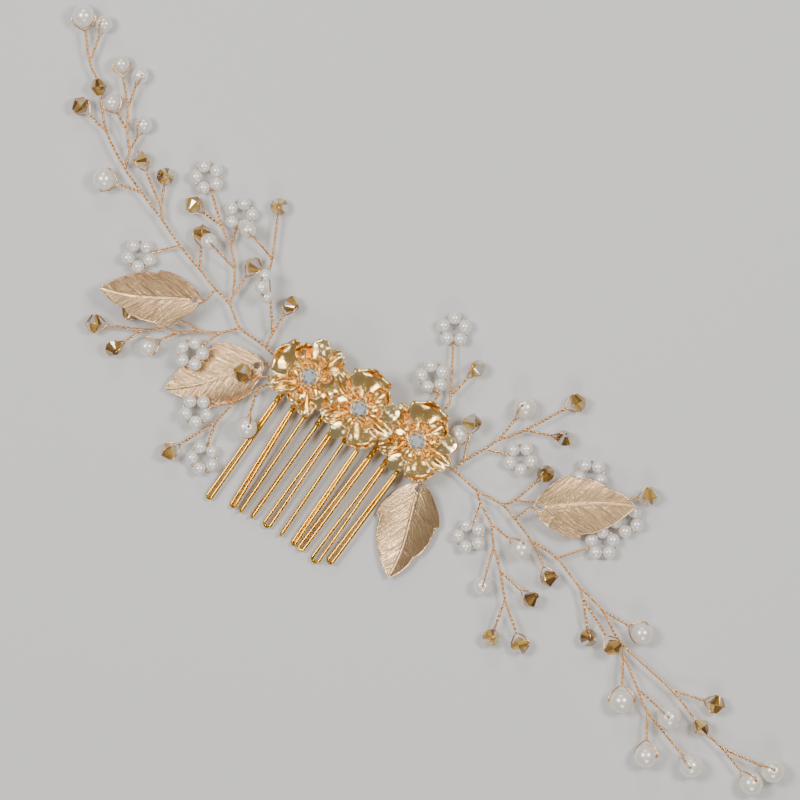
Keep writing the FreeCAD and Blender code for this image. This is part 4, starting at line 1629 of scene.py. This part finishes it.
# ---- comb -----------------------------------------------------------------------------------------
@dataclass
class Comb:
    """The bar, its hairpin teeth and the wire that binds them."""

    shop: WireShop
    tooth_wire: float = 0.93 * MM
    wound: float = 3.3 * MM      # along the neck for one full turn
    neck: float = 7.6 * MM       # where both legs are wound together
    lead: float = 0.3 * MM       # from the bar's middle to the start of the winding

    def winding(self, top: Vector, axis: Vector, across: Vector, side: int) -> list[Vector]:
        """One leg's share of the winding, from the bar down to the neck's end.

        Args:
            top: where the tooth meets the bar.
            axis: the way down the tooth.
            across: the way from one leg to the other.
            side: 1 for one leg, -1 for the other.

        Returns:
            The leg's points in the neck.
        """
        other = axis.cross(across)
        steps = 14
        points = []
        for t in (i / steps for i in range(steps + 1)):
            turn = 2 * math.pi * (1 - t) * self.neck / self.wound
            way = across * math.cos(turn) + other * math.sin(turn)
            points.append(top + axis * (self.neck * t + self.lead) + way * (side * 0.42 * self.tooth_wire))
        return points

    def tooth(self, node: str) -> bpy.types.Mesh:
        """One hairpin, wound at its neck, from the CAD tooth's own outline.

        Args:
            node: the tooth's node.

        Returns:
            The hairpin's mesh.
        """
        points = Solid.of(node)[0].points
        bar_low, bar_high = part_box("comb_bar")
        top = Vector((0.0, (bar_low.y + bar_high.y) / 2, (bar_low.z + bar_high.z) / 2))
        near = points[np.argsort(-points[:, 1])[:24]]
        top.x = float(near[:, 0].mean())
        far = Vector(points[np.argmax(np.linalg.norm(points - np.array(top), axis=1))])
        way = (far - top).normalized()
        along = (points - np.array(top)) @ np.array(way)
        end = along.max()
        legs = points[(along > end - 4.0 * MM)]
        centre = legs.mean(0)
        spread = legs - centre - np.outer((legs - centre) @ np.array(way), np.array(way))
        across = Vector(np.linalg.svd(spread, full_matrices=False)[2][0])
        width = np.ptp(spread @ np.array(across)) - self.tooth_wire
        middle = top + way * ((Vector(centre) - top).dot(way))
        sideways = Vector(centre) - middle
        axis = (way * end + sideways).normalized()
        across = (across - axis * across.dot(axis)).normalized()
        bend = end - (width + self.tooth_wire) / 2
        leg = [(width / 2, self.neck + (bend - self.neck) * (0.12 + 0.88 * i / 8)) for i in range(9)]
        leg = [(off - (off - self.tooth_wire * 0.52) * (1 - ease(s, self.neck, bend)), s) for off, s in leg]
        path = self.winding(top, axis, across, 1)
        path.extend(top + axis * s + across * off for off, s in leg)
        for i in range(1, 8):
            turn = math.pi * i / 8
            path.append(top + axis * (bend + width / 2 * math.sin(turn))
                        + across * (width / 2 * math.cos(turn)))
        path.extend(top + axis * s - across * off for off, s in reversed(leg))
        path.extend(reversed(self.winding(top, axis, across, -1)))
        return self.shop.wire_tree.run(path_mesh([(path, False)]), Finish.TOOTH.material(),
                                       Strand=self.tooth_wire / 2, Step=0.25 * MM)

    def coil(self, start: Vector, end: Vector, radius: float, turns: float) -> list[Vector]:
        """Points of a coil from one point to another.

        Args:
            start: the middle of its first turn.
            end: the middle of its last turn.
            radius: of the coil.
            turns: how many turns it has.

        Returns:
            The coil's points.
        """
        way = (end - start).normalized()
        side = way.orthogonal().normalized()
        other = way.cross(side)
        count = int(turns * 12)
        return [start + (end - start) * (i / count) + (side * math.cos(2 * math.pi * i / 12)
                + other * math.sin(2 * math.pi * i / 12)) * radius for i in range(count + 1)]

    def build(self) -> None:
        """Make and mount everything."""
        for node in sorted(n for n in frame["nodes"] if n.startswith("comb_tooth")):
            mount(joined(f"{node}_hairpin", [self.tooth(node)]), "comb", Finish.TOOTH, node)
        low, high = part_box("comb_bar")
        y, z = (low.y + high.y) / 2, (low.z + high.z) / 2
        thick = (high.y - low.y) / 2
        bar = self.shop.twist_tree.run(
            path_mesh([([Vector((low.x + (high.x - low.x) * i / 12, y, z)) for i in range(13)], False)]),
            Finish.TOOTH.material(), Strand=thick * 0.52, Turn=4.6 * MM, Step=0.3 * MM, Offset=thick * 0.47)
        mount(joined("comb_bar_wire", [bar]), "comb", Finish.TOOTH, "comb_bar")
        coils = []
        for solid in Solid.of("binding_wire"):
            a, b = solid.points.min(0), solid.points.max(0)
            radius = (b[1] - a[1]) / 2 - self.shop.wire * 0.5
            coils.append((self.coil(Vector((a[0] + 0.2 * MM, y, z)), Vector((b[0] - 0.2 * MM, y, z)), radius,
                                    (b[0] - a[0]) / (self.shop.wire * 1.08)), False))
        mount(joined("binding_wire_coils", [self.shop.bare(coils, Finish.WIRE)]), "comb", Finish.WIRE,
              "binding_wire")
        posts = []
        for solid in Solid.of("flower_mounts"):
            a, b = solid.points.min(0), solid.points.max(0)
            middle = Vector(((a[0] + b[0]) / 2, (a[1] + b[1]) / 2, 0.0))
            radius = (b[0] - a[0]) / 2 - self.shop.wire * 0.5
            for inset in (0.0, self.shop.wire, 2 * self.shop.wire):
                posts.append((self.coil(middle + Vector((0, 0, a[2] + 0.2 * MM)),
                                        middle + Vector((0, 0, b[2] - 0.2 * MM)), radius - inset,
                                        (b[2] - a[2]) / (self.shop.wire * 1.05)), False))
        mount(joined("flower_mount_coils", [self.shop.bare(posts, Finish.WIRE)]), "comb", Finish.WIRE,
              "flower_mounts")


# ---- sprays ---------------------------------------------------------------------------------------
@dataclass
class Sprays:
    """Every spray with its pearls, crystals, rings and hooks."""

    shop: WireShop
    leaf_frames: dict[str, Matrix]
    sprays: tuple = ("left_spray", "lower_left_spray", "top_right_spray", "right_spray")

    def hooks(self, stems: Stems) -> list[tuple[list[Vector], bool]]:
        """The wire hook of each leaf that hangs from these stems.

        Args:
            stems: the stems, whose ends are moved to the hooks.

        Returns:
            Each hook's points, and that it is closed.
        """
        found = []
        radius = 1.3 * MM
        for own in self.leaf_frames.values():
            tip, face, hole = (own.col[i].to_3d() for i in (0, 2, 3))
            middle = hole - tip * radius
            target = middle - tip * radius
            run = stems.take_tip(target, 1.2 * MM)
            if run:
                run[-1] = target - tip * 0.1 * MM
                found.append(([middle + (tip * math.cos(a) + face * math.sin(a)) * radius
                               for a in (2 * math.pi * i / 12 for i in range(12))], True))
        return found

    def spray(self, name: str, rods: list, root: Vector, wire_node: str, body: str) -> None:
        """One spray: its stems, its beads that turn, and its groups of beads.

        Args:
            name: the spray's name.
            rods: its straight runs of wire.
            root: where they start.
            wire_node: the CAD node that its wire stands for.
            body: the body that its beads ride on.
        """
        stems = Stems(rods, root)
        paths = self.hooks(stems)
        prefix = "side" if name == "bound" else name
        names = [n for n in frame["nodes"] if n.startswith(prefix + "_") and n != wire_node]
        singles = [j["child"] for j in frame["joints"] if j.get("continuous") and j["parent"] == body]
        for node in names + singles:
            beads = Bead.of(node)
            round_beads = "pearl" in node
            if "ring_pearls" in node:
                for group in clusters(beads, 2.09 * beads[0].radius):
                    paths.append(self.shop.pearl_ring(group, stems))
                pattern, finish = self.shop.pearl(0.17, "ring_pearl"), Finish.RING_PEARL
            elif round_beads:
                pattern, finish = self.shop.pearl(0.10, "pearl"), Finish.PEARL
            else:
                pattern = self.shop.crystal(beads[0].half, beads[0].radius, 0.95 * MM, 0.28 * MM)
                finish = Finish.AMBER
            if "ring_pearls" not in node and "inline" not in node:
                for bead in beads:
                    run = stems.take_tip(bead.middle, bead.radius + 1.6 * MM)
                    if run:
                        paths.append(self.shop.bead_loop(bead, run, round_beads))
            mesh = self.shop.strung(beads, pattern, finish, round_beads)
            piece = joined(f"{node}_strung", [mesh])
            mount(piece, node if node in singles else body, finish, node)
        paths.extend((run, False) for run in stems.bare)
        piece = joined(f"{name}_stems", [self.shop.stems(stems.twisted), self.shop.bare(paths, Finish.WIRE)])
        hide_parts(wire_node)
        if name == "bound":
            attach(piece, "comb")
        else:
            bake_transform(piece)
        log.info("%s: %d stems, %d loops", piece.name, len(stems.twisted), len(paths))

    def build(self) -> None:
        """Make and mount everything."""
        bar_low, bar_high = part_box("comb_bar")
        bound = [rod for rod in (s.rod() for s in Solid.of("bound_wires")) if rod]
        for name in self.sprays:
            joint = next(j for j in frame["joints"] if j["child"] == name)
            pivot = Vector(joint["pos_m"])
            stub = min(bound, key=lambda rod: min((rod[0] - pivot).length, (rod[1] - pivot).length))
            bound.remove(stub)
            start = max(stub[:2], key=lambda end: (end - pivot).length)
            rods = [rod for rod in (s.rod() for s in Solid.of(f"{name}_wire")) if rod]
            self.spray(name, [(start, pivot, stub[2])] + rods, start, f"{name}_wire", name)
        middle = (bar_low + bar_high) / 2
        start = min((end for rod in bound for end in rod[:2]), key=lambda end: abs(end.y - middle.y))
        self.spray("bound", bound, start, "bound_wires", "comb")


# ---- studio ---------------------------------------------------------------------------------------
@dataclass(frozen=True)
class Lamp:
    """A soft square light that faces the piece."""

    name: str
    around: float        # degrees from the view's right
    down: float          # degrees from the zenith
    distance: float
    size: float
    power: float         # watts

    def hang(self, turn: float) -> None:
        """Put the light in the scene.

        Args:
            turn: degrees that the view is turned.
        """
        data = bpy.data.lights.new(self.name, "AREA")
        data.shape, data.size, data.energy = "SQUARE", self.size, self.power
        lamp = bpy.data.objects.new(self.name, data)
        a, d = math.radians(self.around + turn), math.radians(self.down)
        way = Vector((math.cos(a) * math.sin(d), math.sin(a) * math.sin(d), math.cos(d)))
        lamp.location = way * self.distance
        lamp.rotation_mode = "QUATERNION"
        lamp.rotation_quaternion = way.to_track_quat("Z", "Y")
        bpy.context.scene.collection.objects.link(lamp)


@dataclass
class Studio:
    """A pale floor, four soft lights round it, and the camera above."""

    turn: float = 31.3           # degrees that the camera is turned about its own axis
    width: float = 208.0 * MM    # seen across the view
    height: float = 1.1          # of the camera
    floor_half: float = 1.6      # from the floor's middle to its sides
    floor_gap: float = 0.2 * MM  # between the floor and the piece
    ambient: float = 0.24        # strength of the light from all round
    shift: tuple = (-0.0208, 0.0169)     # of the camera from the middle, as shares of the box's sides
    lamps: tuple = (
        Lamp("left_box", 160.0, 30.0, 0.8, 0.24, 3.7),
        Lamp("right_box", 20.0, 30.0, 0.8, 0.20, 3.1),
        Lamp("low_box", -80.0, 52.0, 0.9, 0.26, 1.7),
        Lamp("high_box", 95.0, 55.0, 0.9, 0.22, 1.3))

    def build(self) -> None:
        """Set up the floor, the lights and the camera."""
        low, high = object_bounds()
        floor = mesh_of([(x * self.floor_half, y * self.floor_half, low.z - self.floor_gap)
                         for x, y in ((-1, -1), (1, -1), (1, 1), (-1, 1))], [(0, 1, 2, 3)], "floor")
        paper = Surface("floor_paper", {"Base Color": rgba((0.70, 0.69, 0.67)), "Roughness": 0.9})
        floor.materials.append(paper.material)
        stage = bpy.data.objects.new("floor", floor)
        bpy.context.scene.collection.objects.link(stage)
        stage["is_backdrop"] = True
        world = bpy.data.worlds.new("studio")
        world.use_nodes = True
        background = next(n for n in world.node_tree.nodes if n.type == "BACKGROUND")
        background.inputs["Color"].default_value = rgba((1.0, 0.98, 0.95))
        background.inputs["Strength"].default_value = self.ambient
        bpy.context.scene.world = world
        for lamp in self.lamps:
            lamp.hang(self.turn)
        data = bpy.data.cameras.new("camera")
        data.sensor_width = 36.0
        data.lens = data.sensor_width / 2 * self.height / (self.width / 2)
        camera = bpy.data.objects.new("camera", data)
        centre = (low + high) / 2
        size = high - low
        camera.location = (centre.x + self.shift[0] * size.x, centre.y + self.shift[1] * size.y, self.height)
        camera.rotation_euler = (0.0, 0.0, math.radians(self.turn))
        bpy.context.scene.collection.objects.link(camera)
        bpy.context.scene.camera = camera


def main() -> None:
    """Build the comb's looks round its frame."""
    logging.basicConfig(level=logging.INFO, format="%(name)s: %(message)s")
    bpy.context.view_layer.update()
    Studio().build()
    shop = WireShop()
    Flowers(shop).build()
    leaf_frames = Leaves().build()
    Comb(shop).build()
    Sprays(shop, leaf_frames).build()


if __name__ == "__main__":
    main()
